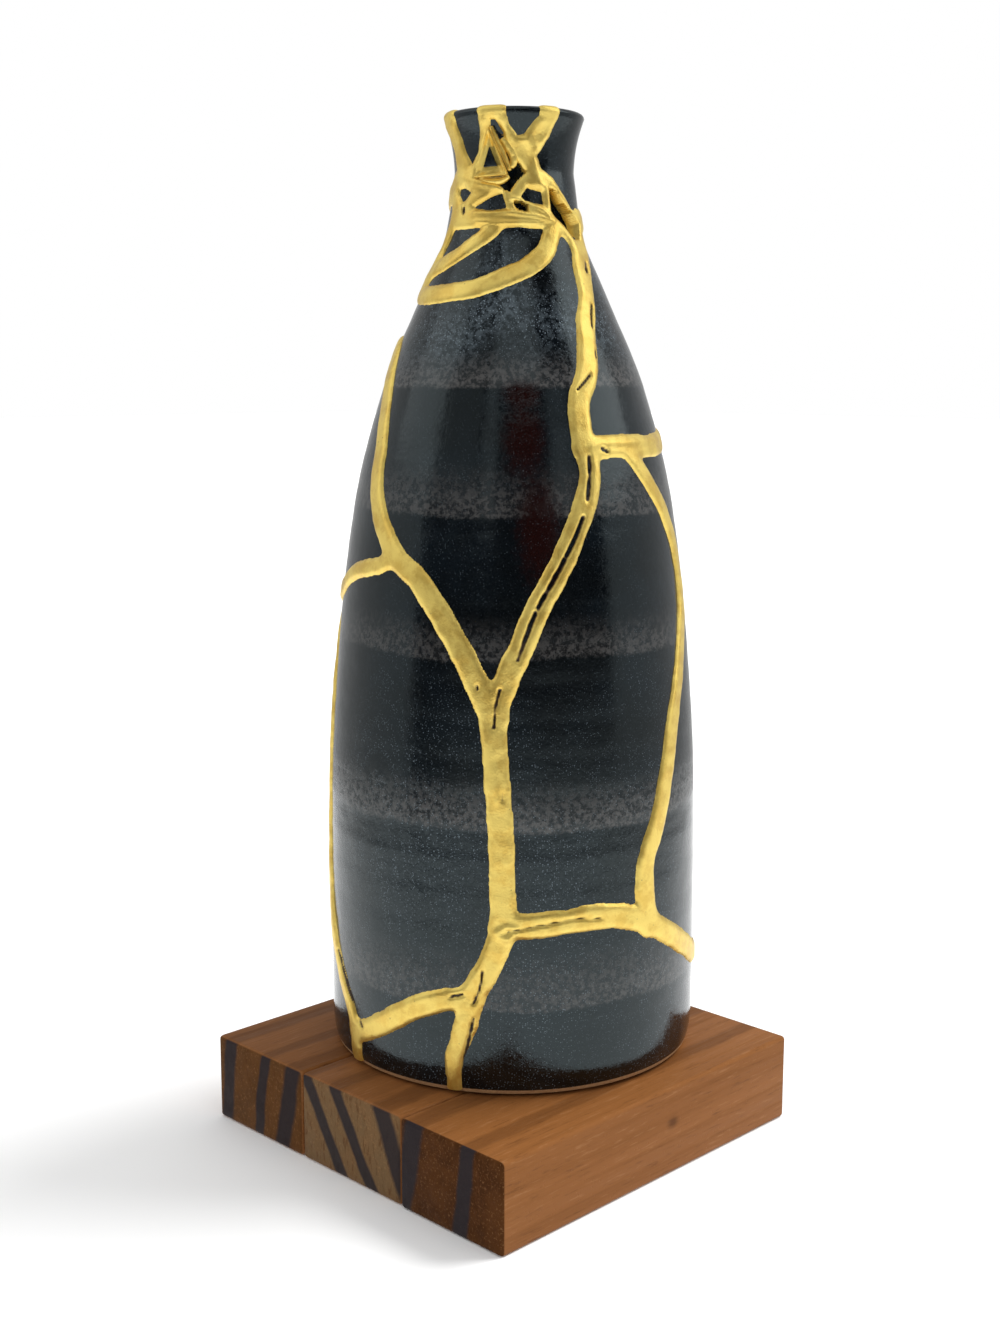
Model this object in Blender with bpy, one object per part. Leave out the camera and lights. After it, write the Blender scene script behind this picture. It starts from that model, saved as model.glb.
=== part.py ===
"""Kintsugi bottle vase on a base of three glued staves, for Blender 4.5, in metres, +Z up.

The origin is the centre of the base's underside, and +X runs along the staves' grain.
The vase is made as it is in life: one turned bottle, cracked into sherds, with gold seams over the cracks.
A place on the vase is (angle, height): degrees round its axis from the front, counter-clockwise seen from
above, and millimetres up a vase of LAYOUT_HEIGHT, so the whole layout follows the vase's real height.
"""

import math

import bmesh
import bpy
from mathutils import Vector
from mathutils.bvhtree import BVHTree
from mathutils.geometry import delaunay_2d_cdt, intersect_point_line

MM = 0.001
SLOPE_STEP = 0.5 * MM

# Vase, outside
VASE_HEIGHT = 0.2205
BODY_RADIUS = 0.0446
FOOT_RADIUS = 0.0430
FOOT_ROUNDING = 0.0070
WAIST_RADIUS = 0.0138
RIM_RADIUS = 0.0165
LIP_ROUNDING = 0.0008
WAIST_SHARE = 0.94

# Vase, inside
BODY_WALL = 0.0048
NECK_WALL = 0.0032
FLOOR = 0.0065
INNER_FILLET = 0.0080

# Cracks and gold
CRACK_WIDTH = 0.0004
CRACK_PAST_WALL = 0.0045
CLEARANCE = 0.0003
SMALLEST_SHERD = 6e-9
FLOOR_CRACK_PAST = 0.0012
HOLE_CUT_FROM = 0.0030
HOLE_CUT_TO = RIM_RADIUS + 0.0120
GOLD_THICKNESS = 0.0010
GOLD_EDGE = 0.40
GOLD_SHOULDER = 0.0024
LIP_GOLD_DEPTH = 0.0030
SEAM_FOOT_GAP = 0.0012
COLLAR_BOTTOM = 194.6

# Triangular sherd that is set back in at a tilt
CHIP_THICKNESS = 0.0024
CHIP_FRAME = 0.0011
CHIP_SUNK = 0.0003
CHIP_TILT = math.radians(14)
POCKET_PAST = 0.0010

# Base
BASE_SIDE = 0.1000
BASE_HEIGHT = 0.0212
EDGE_ROUNDING = 0.0010
GLUE_LINE = 0.0003
PROUD_END = 0.0004
STAVE_SHARES = (0.323, 0.350, 0.327)
VASE_EDGE_INSET = 0.0005
VASE_OFFSET_Y = 0.0028

# Where the vase's front faces, and how finely it is faceted
FRONT_ANGLE = math.radians(-135.5)
SEGMENTS = 36
SEAM_STEP = 0.0076
CRACK_STEP = 0.0140
SEAM_TURN_STEP = math.radians(15)
CRACK_TURN_STEP = math.radians(20)
LAYOUT_HEIGHT = 221.0
MAP_MARGIN = 0.030

VASE_X = BASE_SIDE / 2 - FOOT_RADIUS - VASE_EDGE_INSET
VASE_Y = VASE_OFFSET_Y
VASE_Z = BASE_HEIGHT + CLEARANCE

# Outside of the vase: (share of the height, share of the way out from the waist's radius to the body's)
SHOULDER = (
    (0.00, 1.000),
    (0.15, 1.000),
    (0.30, 0.985),
    (0.45, 0.912),
    (0.60, 0.775),
    (0.72, 0.547),
    (0.82, 0.242),
    (0.88, 0.065),
    (WAIST_SHARE, 0.000),
)

# Seams, each a crack with gold over it: millimetres wide at its two ends, the first point with gold, the route
SEAMS = {
    "spine": (5.2, 5.8, 1, (
        (61, 192.7), (58, 189), (52, 184.5), (48, 179), (40, 172.5), (36.5, 166.5), (33, 161.5),
        (28, 157), (26.5, 152), (27, 146), (28, 140.5), (25.5, 135), (20, 127), (13, 118),
        (7, 110.5), (3.5, 104.5), (-1.5, 96.5), (-5.5, 87.5), (-4.7, 76), (-3.3, 62), (-3, 50),
        (-2.5, 40.5), (-4.5, 35), (-8, 29), (-12.5, 23),
    )),
    "left_seam": (5.2, 5.4, 0, (
        (-185, 141), (-165, 150), (-140, 158), (-118, 166), (-98, 168.5), (-82, 167), (-72, 161),
        (-65, 153), (-60, 145), (-57.5, 137), (-51, 129), (-41.5, 121.5), (-32.5, 117.5),
        (-26, 112.5), (-20, 106.5), (-14, 99.5), (-9, 92.5), (-5.5, 87.5),
    )),
    "left_branch": (3.8, 4.2, 0, (
        (-41.5, 121.5), (-50, 119.3), (-60, 118), (-71, 115.5), (-82, 112), (-100, 108),
        (-125, 106), (-152, 109), (-187, 113),
    )),
    "right_branch": (5.0, 4.6, 0, (
        (27, 146), (46, 146.3), (63, 146), (80, 146.5), (102, 148), (125, 152), (144, 157), (162, 160),
    )),
    "right_seam": (4.2, 6.2, 0, (
        (46, 146.3), (52, 141.5), (60, 135.5), (68, 128), (73, 119.5), (73.5, 111), (70, 102.5),
        (65, 93.5), (59, 84), (54, 73), (49, 61), (43.5, 52.5), (43, 44.5), (45, 37.3),
    )),
    "low_right": (5.8, 5.2, 0, (
        (-2.5, 40.5), (10, 40.7), (21, 41.5), (33, 40.8), (45, 37.3), (56, 32.5), (67, 27.5),
        (80, 22.5), (97, 20.5), (118, 24), (142, 33), (165, 42),
    )),
    "low_left": (5.4, 5.2, 0, (
        (-12.5, 23), (-20, 22.3), (-30, 19), (-41, 13.8), (-49, 10.3), (-56, 8.5),
    )),
    "far_left": (5.4, 4.2, 0, (
        (-100, 108), (-93, 98), (-88, 85), (-86.5, 68), (-85, 53), (-81, 41), (-75, 30.5),
        (-67, 21.5), (-60, 14.5), (-56, 8.5), (-56, 3), (-56, -2),
    )),
    "front_foot": (6.0, 3.4, 0, (
        (-12.5, 23), (-13.3, 17.5), (-15.5, 12.5), (-17, 8.5), (-17.3, 3), (-17.3, -2),
    )),
    "collar_low": (4.2, 4.2, 1, (
        (36.5, 197.6), (33.5, 194.5), (28, 191), (20, 188.3), (10, 186), (0, 184.3), (-12, 182.6),
        (-25, 181), (-42, 180.3), (-60, 180), (-76, 180.3), (-92, 181.5), (-118, 184),
        (-148, 187), (-185, 189),
    )),
    "collar_mid": (3.8, 3.6, 0, (
        (-12, 196), (-22, 193.3), (-34, 191), (-46, 188.8), (-60, 186.8), (-76, 184.6), (-92, 181.5),
    )),
    "collar_left": (3.2, 3.0, 0, (
        (-63, 203), (-62, 198), (-67, 193.5), (-73, 189), (-76, 184.6),
    )),
    "back_spine": (4.6, 5.0, 0, (
        (175, 194.5), (175, 189), (168, 178), (162, 168), (162, 160), (168, 151), (175, 141),
        (178, 128), (173, 113), (165, 98), (161, 84), (166, 68), (170, 54), (165, 42),
    )),
    "back_link": (4.2, 4.2, 0, ((-118, 184), (-124, 175), (-118, 166))),
    "back_low": (4.6, 4.8, 0, ((165, 42), (186, 36), (215, 29), (242, 27), (263, 33), (279, 41))),
}

# Gold with no crack under it: beside the slot in the neck, and the strip beside the set-in sherd
GOLD_RUNS = {
    "slot_edge": (3.6, 4.8, 0, ((71, 198), (69.5, 193.5), (63, 188.8), (52, 184.5))),
    "slot_lip": (2.4, 2.4, 0, ((34.5, 195.8), (43, 194.8), (51, 192.2), (58, 189))),
    "loose_strip": (1.7, 1.5, 0, ((-20, 216), (-14, 212.8), (-8, 209.5), (-4, 206.5))),
}

# Cracks of the neck, which the gold collar covers
NECK_CRACKS = {
    "ring_front": ((-62, 198), (-43, 197), (-12, 196), (-1.5, 197), (15, 196.8), (36.5, 198)),
    "ring_back": (
        (58, 193), (88, 196), (118, 198), (148, 196), (175, 194.5), (202, 197), (230, 200),
        (260, 202), (280, 204), (297, 203),
    ),
    "rim_far_left": ((-75, 224), (-66, 215.5), (-57, 210), (-50, 205.7), (-44, 206), (-36.5, 206)),
    "rim_left": ((-24, 224), (-27, 217), (-32, 212), (-38, 208.5), (-44, 206)),
    "rim_middle": ((-16, 224), (-9, 218.5), (-4, 214.5), (2, 211.8), (9, 209.5)),
    "rim_right": ((33, 224), (26, 217.5), (18, 213.5), (9, 209.5)),
    "slot_top": ((9, 209.5), (16, 206.8), (24, 205), (33, 202)),
    "chip_gap": ((5.5, 206.2), (10, 207.2), (16, 206.8)),
    "chip_left": ((-44, 206), (-43.5, 203), (-41, 200), (-43, 197)),
    "chip_right": ((-2.5, 204.5), (-3, 200.5), (-1.5, 197)),
    "chip_back": ((-63, 203), (-60.5, 206.5), (-57, 210)),
    "rim_back_right": ((130, 224), (123, 214), (126, 206), (118, 198)),
    "rim_back_left": ((240, 224), (233, 214), (238, 207), (230, 200)),
}

# Places where sherds are lost: the holes go through the wall and the gold
LOST = {
    "slot": (
        (31, 203), (37, 202.5), (47, 199.3), (57, 195.3), (64, 192), (58, 191.6), (49, 193.8),
        (41, 196.8), (34, 197.6), (33, 200.5),
    ),
    "set_in_hole": (
        (-25, 216), (-33, 210), (-39, 205.5), (-33, 204.3), (-22, 204), (-11, 203.2), (-4, 202.5),
        (-1, 202.7), (3, 205), (8.5, 206.5), (1, 209.5), (-6, 211), (-11, 213.2),
    ),
    "pinhole": ((1.5, 199.8), (6, 200), (12.5, 198.8), (11, 197.8), (4, 198.4)),
}

# Windows in the gold collar, where the glaze shows
WINDOWS = {
    "rim_left": ((-63, 232), (-56, 217), (-49, 211.5), (-43, 209), (-36, 211.5), (-32, 216), (-33.5, 232)),
    "rim_front": (
        (-7, 232), (-6, 219.5), (-3, 216.8), (3, 215), (8, 215.3), (14, 217), (19.5, 219), (21, 232),
    ),
    "rim_right": (
        (44, 232), (40, 219.5), (33, 214.5), (22, 210.5), (27, 207.8), (38, 206), (50, 202.8),
        (60, 199.8), (72, 199), (78, 199.3), (78, 232),
    ),
    "rim_far_right": ((75, 232), (75, 199.2), (90, 199.8), (108, 202), (112, 212), (118, 232)),
    "back_right": ((138, 232), (132, 214), (136, 204), (160, 201), (187, 200.2), (187, 232)),
    "back_left": ((184, 232), (184, 200.2), (213, 202), (227, 206), (223, 214), (231, 232)),
    "far_left": (
        (248, 232), (243, 214), (247, 206), (265, 205), (282, 206.2), (291, 208.5), (288, 212.5),
        (278, 217.5), (268, 232),
    ),
    "below_left": ((246, 192), (292, 192), (290, 197), (289, 200), (275, 200.4), (255, 198.4)),
    "diamond": ((-19, 216.5), (-15, 218), (-11, 215.3), (-8.5, 214), (-13, 214.4), (-18, 215.6)),
    "pentagon": ((-59, 201.5), (-55, 203), (-49, 203), (-45, 201.8), (-49, 200), (-56, 200)),
    "wedge": ((-38, 198.7), (-24, 200.6), (-12, 201.4), (-8, 199.2), (-22, 198.6)),
    "patch": ((9, 202.4), (14, 203.4), (24, 202.5), (28.5, 199.9), (19, 200.3), (12, 201.2)),
}

# Each sherd's name and a place on it
SHERDS = {
    "sherd_front_shoulder": (0, 160),
    "sherd_right_shoulder": (70, 170),
    "sherd_right_front_panel": (40, 90),
    "sherd_right_back_panel": (110, 90),
    "sherd_left_shoulder": (-75, 140),
    "sherd_left_front_panel": (-35, 60),
    "sherd_back_left_panel": (-130, 70),
    "sherd_base": (20, 20),
    "sherd_foot_front_left": (-35, 8),
    "sherd_back_shoulder": (-150, 172),
    "sherd_collar_front": (0, 190),
    "sherd_collar_left": (-42, 193),
    "sherd_collar_back": (-120, 192),
    "sherd_rim_left": (-45, 217),
    "sherd_rim_front": (5, 219),
    "sherd_rim_right": (75, 212),
    "sherd_rim_back": (180, 210),
    "sherd_rim_back_left": (-100, 212),
    "sherd_neck_fork": (-14, 216),
    "sherd_neck_chip_left": (-52, 201.5),
    "sherd_neck_chip_middle": (-22, 200.3),
    "sherd_neck_chip_right": (17, 202),
}

# The triangular set-in sherd: its three corners, and how far its lower edge stands out of the neck
SET_IN_CORNERS = ((-25, 216.6), (-37, 205.2), (-10, 206))
SET_IN_STANDS_OUT = 0.0008

GLAZE_COLOUR = (0.022, 0.028, 0.036, 1.0)
GOLD_COLOUR = (0.78, 0.56, 0.20, 1.0)
WOOD_COLOUR = (0.36, 0.17, 0.07, 1.0)


def clear_scene():
    for thing in list(bpy.data.objects):
        bpy.data.objects.remove(thing, do_unlink=True)


def make_material(name, colour, roughness, metallic):
    material = bpy.data.materials.new(name)
    material.use_nodes = True
    shader = material.node_tree.nodes["Principled BSDF"]
    shader.inputs["Base Color"].default_value = colour
    shader.inputs["Roughness"].default_value = roughness
    shader.inputs["Metallic"].default_value = metallic
    return material


def height(layout_height):
    """Metres up the vase for a height of the layout."""
    return layout_height / LAYOUT_HEIGHT * VASE_HEIGHT


def between(curve, share):
    """Value of a monotone cubic through a list of (share, value)."""
    shares = [point[0] for point in curve]
    values = [point[1] for point in curve]
    steps = [shares[i + 1] - shares[i] for i in range(len(curve) - 1)]
    slopes = [(values[i + 1] - values[i]) / steps[i] for i in range(len(steps))]
    tangents = [slopes[0]]
    for before, after in zip(slopes, slopes[1:]):
        tangents.append(0.0 if before * after <= 0 else 2 * before * after / (before + after))
    tangents.append(slopes[-1])
    i = max(index for index in range(len(steps)) if index == 0 or shares[index] <= share)
    t = (share - shares[i]) / steps[i]
    a, b = values[i], values[i + 1]
    rise = t * t * (3 - 2 * t)
    leave = t * (1 - t) ** 2 * steps[i] * tangents[i]
    arrive = t * t * (t - 1) * steps[i] * tangents[i + 1]
    return a + (b - a) * rise + leave + arrive


def outer_radius(z):
    """Radius of the vase's outside at a height in metres."""
    share = min(max(z / VASE_HEIGHT, 0.0), 1.0)
    if share > WAIST_SHARE:
        flare = (share - WAIST_SHARE) / (1 - WAIST_SHARE)
        return WAIST_RADIUS + (RIM_RADIUS - WAIST_RADIUS) * flare**2
    radius = WAIST_RADIUS + (BODY_RADIUS - WAIST_RADIUS) * between(SHOULDER, share)
    if z >= FOOT_ROUNDING:
        return radius
    up = 1 - max(z, 0.0) / FOOT_ROUNDING
    return FOOT_RADIUS + (radius - FOOT_RADIUS) * math.sqrt(1 - up * up)


def wall(z):
    share = min(max(z / VASE_HEIGHT, 0.0), 1.0)
    return BODY_WALL + (NECK_WALL - BODY_WALL) * share


def floor_edge():
    """Radius at which the flat floor inside meets its fillet."""
    fillet_top = FLOOR + INNER_FILLET
    return outer_radius(fillet_top) - wall(fillet_top) - INNER_FILLET


def on_vase(angle, z, radius):
    """World place at an angle in radians, a height in metres above the vase's foot, and a radius."""
    turn = FRONT_ANGLE + angle
    return Vector((VASE_X + radius * math.cos(turn), VASE_Y + radius * math.sin(turn), VASE_Z + z))


def spaced(start, end, count):
    return [start + (end - start) * i / count for i in range(count + 1)]


def row_heights(lowest, highest, body_rows, neck_rows):
    """Heights of the turned rows: wide on the body, closer on the shoulder and neck."""
    shoulder = 0.55 * VASE_HEIGHT
    if lowest >= shoulder:
        return spaced(lowest, highest, neck_rows)
    return spaced(lowest, shoulder, body_rows)[:-1] + spaced(shoulder, highest, neck_rows)


def vase_profile():
    """(radius, height) of the wall's section, from the underside's centre round to the floor's centre."""
    foot = [FOOT_ROUNDING * share for share in (0.0, 0.12, 0.45)]
    top = VASE_HEIGHT - LIP_ROUNDING
    outside = [(outer_radius(z), z) for z in foot + row_heights(FOOT_ROUNDING, top, 5, 15)]
    lip = outer_radius(VASE_HEIGHT)
    inner_lip = lip - NECK_WALL
    lip_top = [(lip - LIP_ROUNDING, VASE_HEIGHT), (inner_lip + LIP_ROUNDING, VASE_HEIGHT)]
    fillet_top = FLOOR + INNER_FILLET
    inner_rows = reversed(row_heights(fillet_top, top, 3, 5))
    inside = [(outer_radius(z) - wall(z), z) for z in inner_rows]
    fillet = [
        (floor_edge() + INNER_FILLET * math.cos(turn), fillet_top - INNER_FILLET * math.sin(turn))
        for turn in (math.pi / 6, math.pi / 3, math.pi / 2)
    ]
    return [(0.0, 0.0)] + outside + lip_top + inside + fillet + [(0.0, FLOOR)]


def lip_line():
    """The skin over the lip into the mouth: (way up the skin, radius, height, outward direction)."""
    start, low = VASE_HEIGHT - LIP_ROUNDING, VASE_HEIGHT - LIP_GOLD_DEPTH
    mouth = outer_radius(VASE_HEIGHT) - NECK_WALL
    points = (
        (outer_radius(start), start, (1.0, 0.0)),
        (outer_radius(VASE_HEIGHT) - LIP_ROUNDING, VASE_HEIGHT, (0.30, 0.95)),
        (mouth + LIP_ROUNDING, VASE_HEIGHT, (-0.30, 0.95)),
        (mouth, start, (-0.95, 0.30)),
        (outer_radius(low) - wall(low), low, (-1.0, 0.0)),
    )
    line, way = [], start
    for i, (radius, z, outward) in enumerate(points):
        if i:
            way += math.hypot(radius - points[i - 1][0], z - points[i - 1][1])
        line.append((way, radius, z, outward))
    return line


def on_skin(line, angle, way, off):
    """World place on the vase's skin: an angle, a way up the skin and over the lip, and metres off it."""
    if way <= line[0][0]:
        widening = outer_radius(way + SLOPE_STEP) - outer_radius(way - SLOPE_STEP)
        tilt = math.atan(widening / (2 * SLOPE_STEP))
        return on_vase(angle, way - off * math.sin(tilt), outer_radius(way) + off * math.cos(tilt))
    i = max(index for index in range(len(line) - 1) if line[index][0] <= way)
    t = min((way - line[i][0]) / (line[i + 1][0] - line[i][0]), 1.0)
    radius, z = (line[i][k] + (line[i + 1][k] - line[i][k]) * t for k in (1, 2))
    out, up = (line[i][3][k] + (line[i + 1][3][k] - line[i][3][k]) * t for k in (0, 1))
    return on_vase(angle, z + off * up, radius + off * out)


def new_object(name, mesh, material=None):
    thing = bpy.data.objects.new(name, mesh)
    bpy.context.scene.collection.objects.link(thing)
    if material:
        thing.data.materials.append(material)
    return thing


def finish_mesh(name, bm):
    bmesh.ops.remove_doubles(bm, verts=bm.verts, dist=1e-7)
    bmesh.ops.recalc_face_normals(bm, faces=bm.faces)
    if bm.calc_volume(signed=True) < 0:
        bmesh.ops.reverse_faces(bm, faces=bm.faces)
    mesh = bpy.data.meshes.new(name)
    bm.to_mesh(mesh)
    bm.free()
    return mesh


def turned(name, profile):
    """Mesh of a section turned once round the vase's axis."""
    bm = bmesh.new()
    verts = [bm.verts.new(on_vase(0.0, z, radius)) for radius, z in profile]
    edges = [bm.edges.new(pair) for pair in zip(verts, verts[1:])]
    bmesh.ops.spin(
        bm,
        geom=verts + edges,
        cent=(VASE_X, VASE_Y, VASE_Z),
        axis=(0, 0, 1),
        angle=2 * math.pi,
        steps=SEGMENTS,
        use_merge=True,
    )
    return finish_mesh(name, bm)


def smooth_route(points, longest_step, widest_turn):
    """The layout's route as (angle in radians, height in metres), smooth through its points."""
    places = [(math.radians(angle), height(up)) for angle, up in points]
    route = [places[0]]
    for i in range(len(places) - 1):
        before, start = places[max(i - 1, 0)], places[i]
        end, after = places[i + 1], places[min(i + 2, len(places) - 1)]
        radius = outer_radius((start[1] + end[1]) / 2)
        span = math.hypot((end[0] - start[0]) * radius, end[1] - start[1])
        turn = abs(end[0] - start[0])
        count = max(1, round(span / longest_step), math.ceil(turn / widest_turn - 0.01))
        for step in range(1, count + 1):
            t = step / count
            route.append(tuple(
                0.5 * (
                    2 * start[k]
                    + (end[k] - before[k]) * t
                    + (2 * before[k] - 5 * start[k] + 4 * end[k] - after[k]) * t**2
                    + (3 * start[k] - before[k] - 3 * end[k] + after[k]) * t**3
                )
                for k in (0, 1)
            ))
    return route


def run_past_ends(route, past):
    """The route with both ends carried straight on, so that meeting cracks open fully into each other."""
    ends = []
    for end, inner in ((route[0], route[1]), (route[-1], route[-2])):
        radius = outer_radius(end[1])
        along = ((end[0] - inner[0]) * radius, end[1] - inner[1])
        share = past / math.hypot(*along)
        ends.append((end[0] + (end[0] - inner[0]) * share, end[1] + (end[1] - inner[1]) * share))
    return [ends[0]] + route[1:-1] + [ends[1]]


def cut_at_foot(route, lowest):
    """The route down to a height, with its last point exactly there."""
    kept = [place for place in route if place[1] >= lowest]
    if len(kept) == len(route):
        return route
    above, below = route[len(kept) - 1], route[len(kept)]
    t = (above[1] - lowest) / (above[1] - below[1])
    return kept + [(above[0] + (below[0] - above[0]) * t, lowest)]


def sideways(route, i):
    """Direction across the route at point i, as (radians, metres of height) for each metre across."""
    a, b = route[max(i - 1, 0)], route[min(i + 1, len(route) - 1)]
    radius = outer_radius(route[i][1])
    along = ((b[0] - a[0]) * radius, b[1] - a[1])
    length = math.hypot(*along)
    return -along[1] / length / radius, along[0] / length


def crack_reach(z):
    """How far in a crack's cutter goes: past the wall, and low down past the fillet of the floor."""
    if z < FLOOR + INNER_FILLET:
        return floor_edge() - CRACK_PAST_WALL
    return outer_radius(z) - wall(z) - CRACK_PAST_WALL


def crack_cutter(name, points):
    """A thin radial wall along a crack, through the whole thickness of the vase.

    Both of its sides are split along the same diagonals, so that it stays open where it twists.
    """
    route = run_past_ends(smooth_route(points, CRACK_STEP, CRACK_TURN_STEP), 1.5 * CRACK_WIDTH)
    bm = bmesh.new()
    rings = []
    for i, (angle, z) in enumerate(route):
        turn, rise = sideways(route, i)
        ring = []
        for side, inside in ((-1, True), (1, True), (1, False), (-1, False)):
            across = side * CRACK_WIDTH / 2
            place_z = z + rise * across
            radius = crack_reach(place_z) if inside else outer_radius(place_z) + CRACK_PAST_WALL
            ring.append(bm.verts.new(on_vase(angle + turn * across, place_z, radius)))
        rings.append(ring)
    for near, far in zip(rings, rings[1:]):
        for k in range(4):
            a, b, c, d = near[k], near[(k + 1) % 4], far[(k + 1) % 4], far[k]
            for half in ((a, b, c), (a, c, d)) if k < 2 else ((a, b, d), (b, c, d)):
                bm.faces.new(half)
    bm.faces.new(rings[0])
    bm.faces.new(list(reversed(rings[-1])))
    return new_object(name, finish_mesh(name, bm))


def run_cells(width_start, width_end, first, points):
    """Cells of one run of gold: two beside each other, left and right of its middle, at every step."""
    route = cut_at_foot(smooth_route(points[first:], SEAM_STEP, SEAM_TURN_STEP), SEAM_FOOT_GAP)
    lines = []
    for i, (angle, z) in enumerate(route):
        turn, rise = sideways(route, i)
        half = (width_start + (width_end - width_start) * i / (len(route) - 1)) * MM / 2
        lines.append([(angle + turn * across, z + rise * across) for across in (-half, 0.0, half)])
    return [
        (near[k], near[k + 1], far[k + 1], far[k]) for near, far in zip(lines, lines[1:]) for k in (0, 1)
    ]


def collar_cells(line):
    """Cells of the gold collar round the neck, over the lip and into the mouth."""
    rows = spaced(height(COLLAR_BOTTOM), line[0][0], 5)[:-1] + [point[0] for point in line]
    turns = [2 * math.pi * i / SEGMENTS for i in range(SEGMENTS)]
    return [
        ((left, low), (right, low), (right, high), (left, high))
        for low, high in zip(rows, rows[1:])
        for left, right in zip(turns, turns[1:] + turns[:1])
    ]


def corners_of(outline):
    """An outline's corners in radians and metres, with more of them along wide edges."""
    places = [(math.radians(angle), height(up)) for angle, up in outline]
    corners = []
    for start, end in zip(places, places[1:] + places[:1]):
        count = max(1, math.ceil(abs(end[0] - start[0]) / math.radians(12)))
        for step in range(count):
            t = step / count
            corners.append((start[0] + (end[0] - start[0]) * t, start[1] + (end[1] - start[1]) * t))
    return corners


def to_map(angle, way):
    """A place of the skin on a flat map, where each height is a ring and the mouth is in the middle."""
    reach = MAP_MARGIN + VASE_HEIGHT - way
    return Vector((reach * math.cos(angle), reach * math.sin(angle)))


def from_map(place):
    return math.atan2(place.y, place.x), MAP_MARGIN + VASE_HEIGHT - place.length


def gold_map(line):
    """Places and triangles of all the gold on the flat map: the cells joined, the windows and holes left out."""
    cells = [("collar", cell) for cell in collar_cells(line)]
    cells += [("run", cell) for run in (SEAMS | GOLD_RUNS).values() for cell in run_cells(*run)]
    cells += [("window", corners_of(outline)) for outline in WINDOWS.values()]
    cells += [("lost", corners_of(outline)) for outline in LOST.values()]
    places, faces = [], []
    for _, cell in cells:
        flat = [to_map(*corner) for corner in cell]
        area = sum(a.x * b.y - b.x * a.y for a, b in zip(flat, flat[1:] + flat[:1]))
        if area < 0:
            flat.reverse()
        faces.append(list(range(len(places), len(places) + len(flat))))
        places += flat
    found = delaunay_2d_cdt(places, [], faces, 0, 1e-7, True)
    places, faces, sources = found[0], found[2], found[5]
    kept = []
    for face, source in zip(faces, sources):
        kinds = {cells[index][0] for index in source}
        collar = "collar" in kinds and "window" not in kinds
        if "lost" not in kinds and ("run" in kinds or collar):
            kept.append(face)
    return places, kept


def off_side(place, side):
    """Distance of a place from a straight side, which is two places."""
    nearest, share = intersect_point_line(place, *side)
    return (place - (nearest if 0 < share < 1 else side[0 if share <= 0 else 1])).length


def gold_skin(name):
    """Mesh of the gold: thin at its edges and full in its middle, a hair off the glaze all over."""
    line = lip_line()
    places, faces = gold_map(line)
    used = sorted({index for face in faces for index in face})
    skin = {index: from_map(places[index]) for index in used}
    low = {index: on_skin(line, *skin[index], CLEARANCE) for index in used}
    sides = {}
    for face in faces:
        for a, b in zip(face, face[1:] + face[:1]):
            if (b, a) in sides:
                del sides[(b, a)]
            else:
                sides[(a, b)] = (low[a], low[b])
    edge_places = {index for side in sides for index in side}
    bm = bmesh.new()
    under = {index: bm.verts.new(low[index]) for index in used}
    over = {}
    for index in used:
        inward = 0.0
        if index not in edge_places:
            inward = min(off_side(low[index], side) for side in sides.values())
        share = min(inward / GOLD_SHOULDER, 1.0)
        rise = GOLD_THICKNESS * (GOLD_EDGE + (1 - GOLD_EDGE) * math.sqrt(1 - (1 - share) ** 2))
        over[index] = bm.verts.new(on_skin(line, *skin[index], CLEARANCE + rise))
    for face in faces:
        bm.faces.new([over[index] for index in face])
        bm.faces.new([under[index] for index in reversed(face)])
    for a, b in sides:
        bm.faces.new((over[b], over[a], under[a], under[b]))
    bmesh.ops.triangulate(bm, faces=[face for face in bm.faces if len(face.verts) > 3])
    return finish_mesh(name, bm)


def radial_prism(name, outline):
    """A cutter through the wall with an outline of (angle, height) corners."""
    corners = corners_of(outline)
    bm = bmesh.new()
    near = [bm.verts.new(on_vase(angle, z, HOLE_CUT_FROM)) for angle, z in corners]
    far = [bm.verts.new(on_vase(angle, z, HOLE_CUT_TO)) for angle, z in corners]
    for k in range(len(corners)):
        after = (k + 1) % len(corners)
        bm.faces.new((near[k], near[after], far[after], far[k]))
    bm.faces.new(near)
    bm.faces.new(list(reversed(far)))
    bmesh.ops.triangulate(bm, faces=bm.faces, ngon_method="EAR_CLIP")
    return new_object(name, finish_mesh(name, bm))


def floor_crack(name, angle_a, angle_b):
    """The straight crack across the floor between the two seams that reach the foot."""
    a = on_vase(math.radians(angle_a), 0.0, floor_edge())
    b = on_vase(math.radians(angle_b), 0.0, floor_edge())
    along = (b - a).normalized()
    a, b = a - along * FLOOR_CRACK_PAST, b + along * FLOOR_CRACK_PAST
    low, high = -FLOOR_CRACK_PAST, FLOOR + 0.3 * INNER_FILLET
    across = along.cross(Vector((0, 0, 1))) * CRACK_WIDTH / 2
    bm = bmesh.new()
    base = bm.faces.new([
        bm.verts.new(place + Vector((0, 0, low))) for place in (a - across, a + across, b + across, b - across)
    ])
    raised = bmesh.ops.extrude_face_region(bm, geom=[base])["geom"]
    top = [piece for piece in raised if isinstance(piece, bmesh.types.BMVert)]
    bmesh.ops.translate(bm, verts=top, vec=(0, 0, high - low))
    return new_object(name, finish_mesh(name, bm))


def as_cutters(name, things):
    group = bpy.data.collections.new(name)
    bpy.context.scene.collection.children.link(group)
    for thing in things:
        bpy.context.scene.collection.objects.unlink(thing)
        group.objects.link(thing)
        thing.hide_render = True
        thing.display_type = "WIRE"
    return group


def boolean(thing, name, operation, group):
    modifier = thing.modifiers.new(name, "BOOLEAN")
    modifier.operation = operation
    modifier.operand_type = "COLLECTION"
    modifier.collection = group
    modifier.solver = "EXACT"


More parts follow.
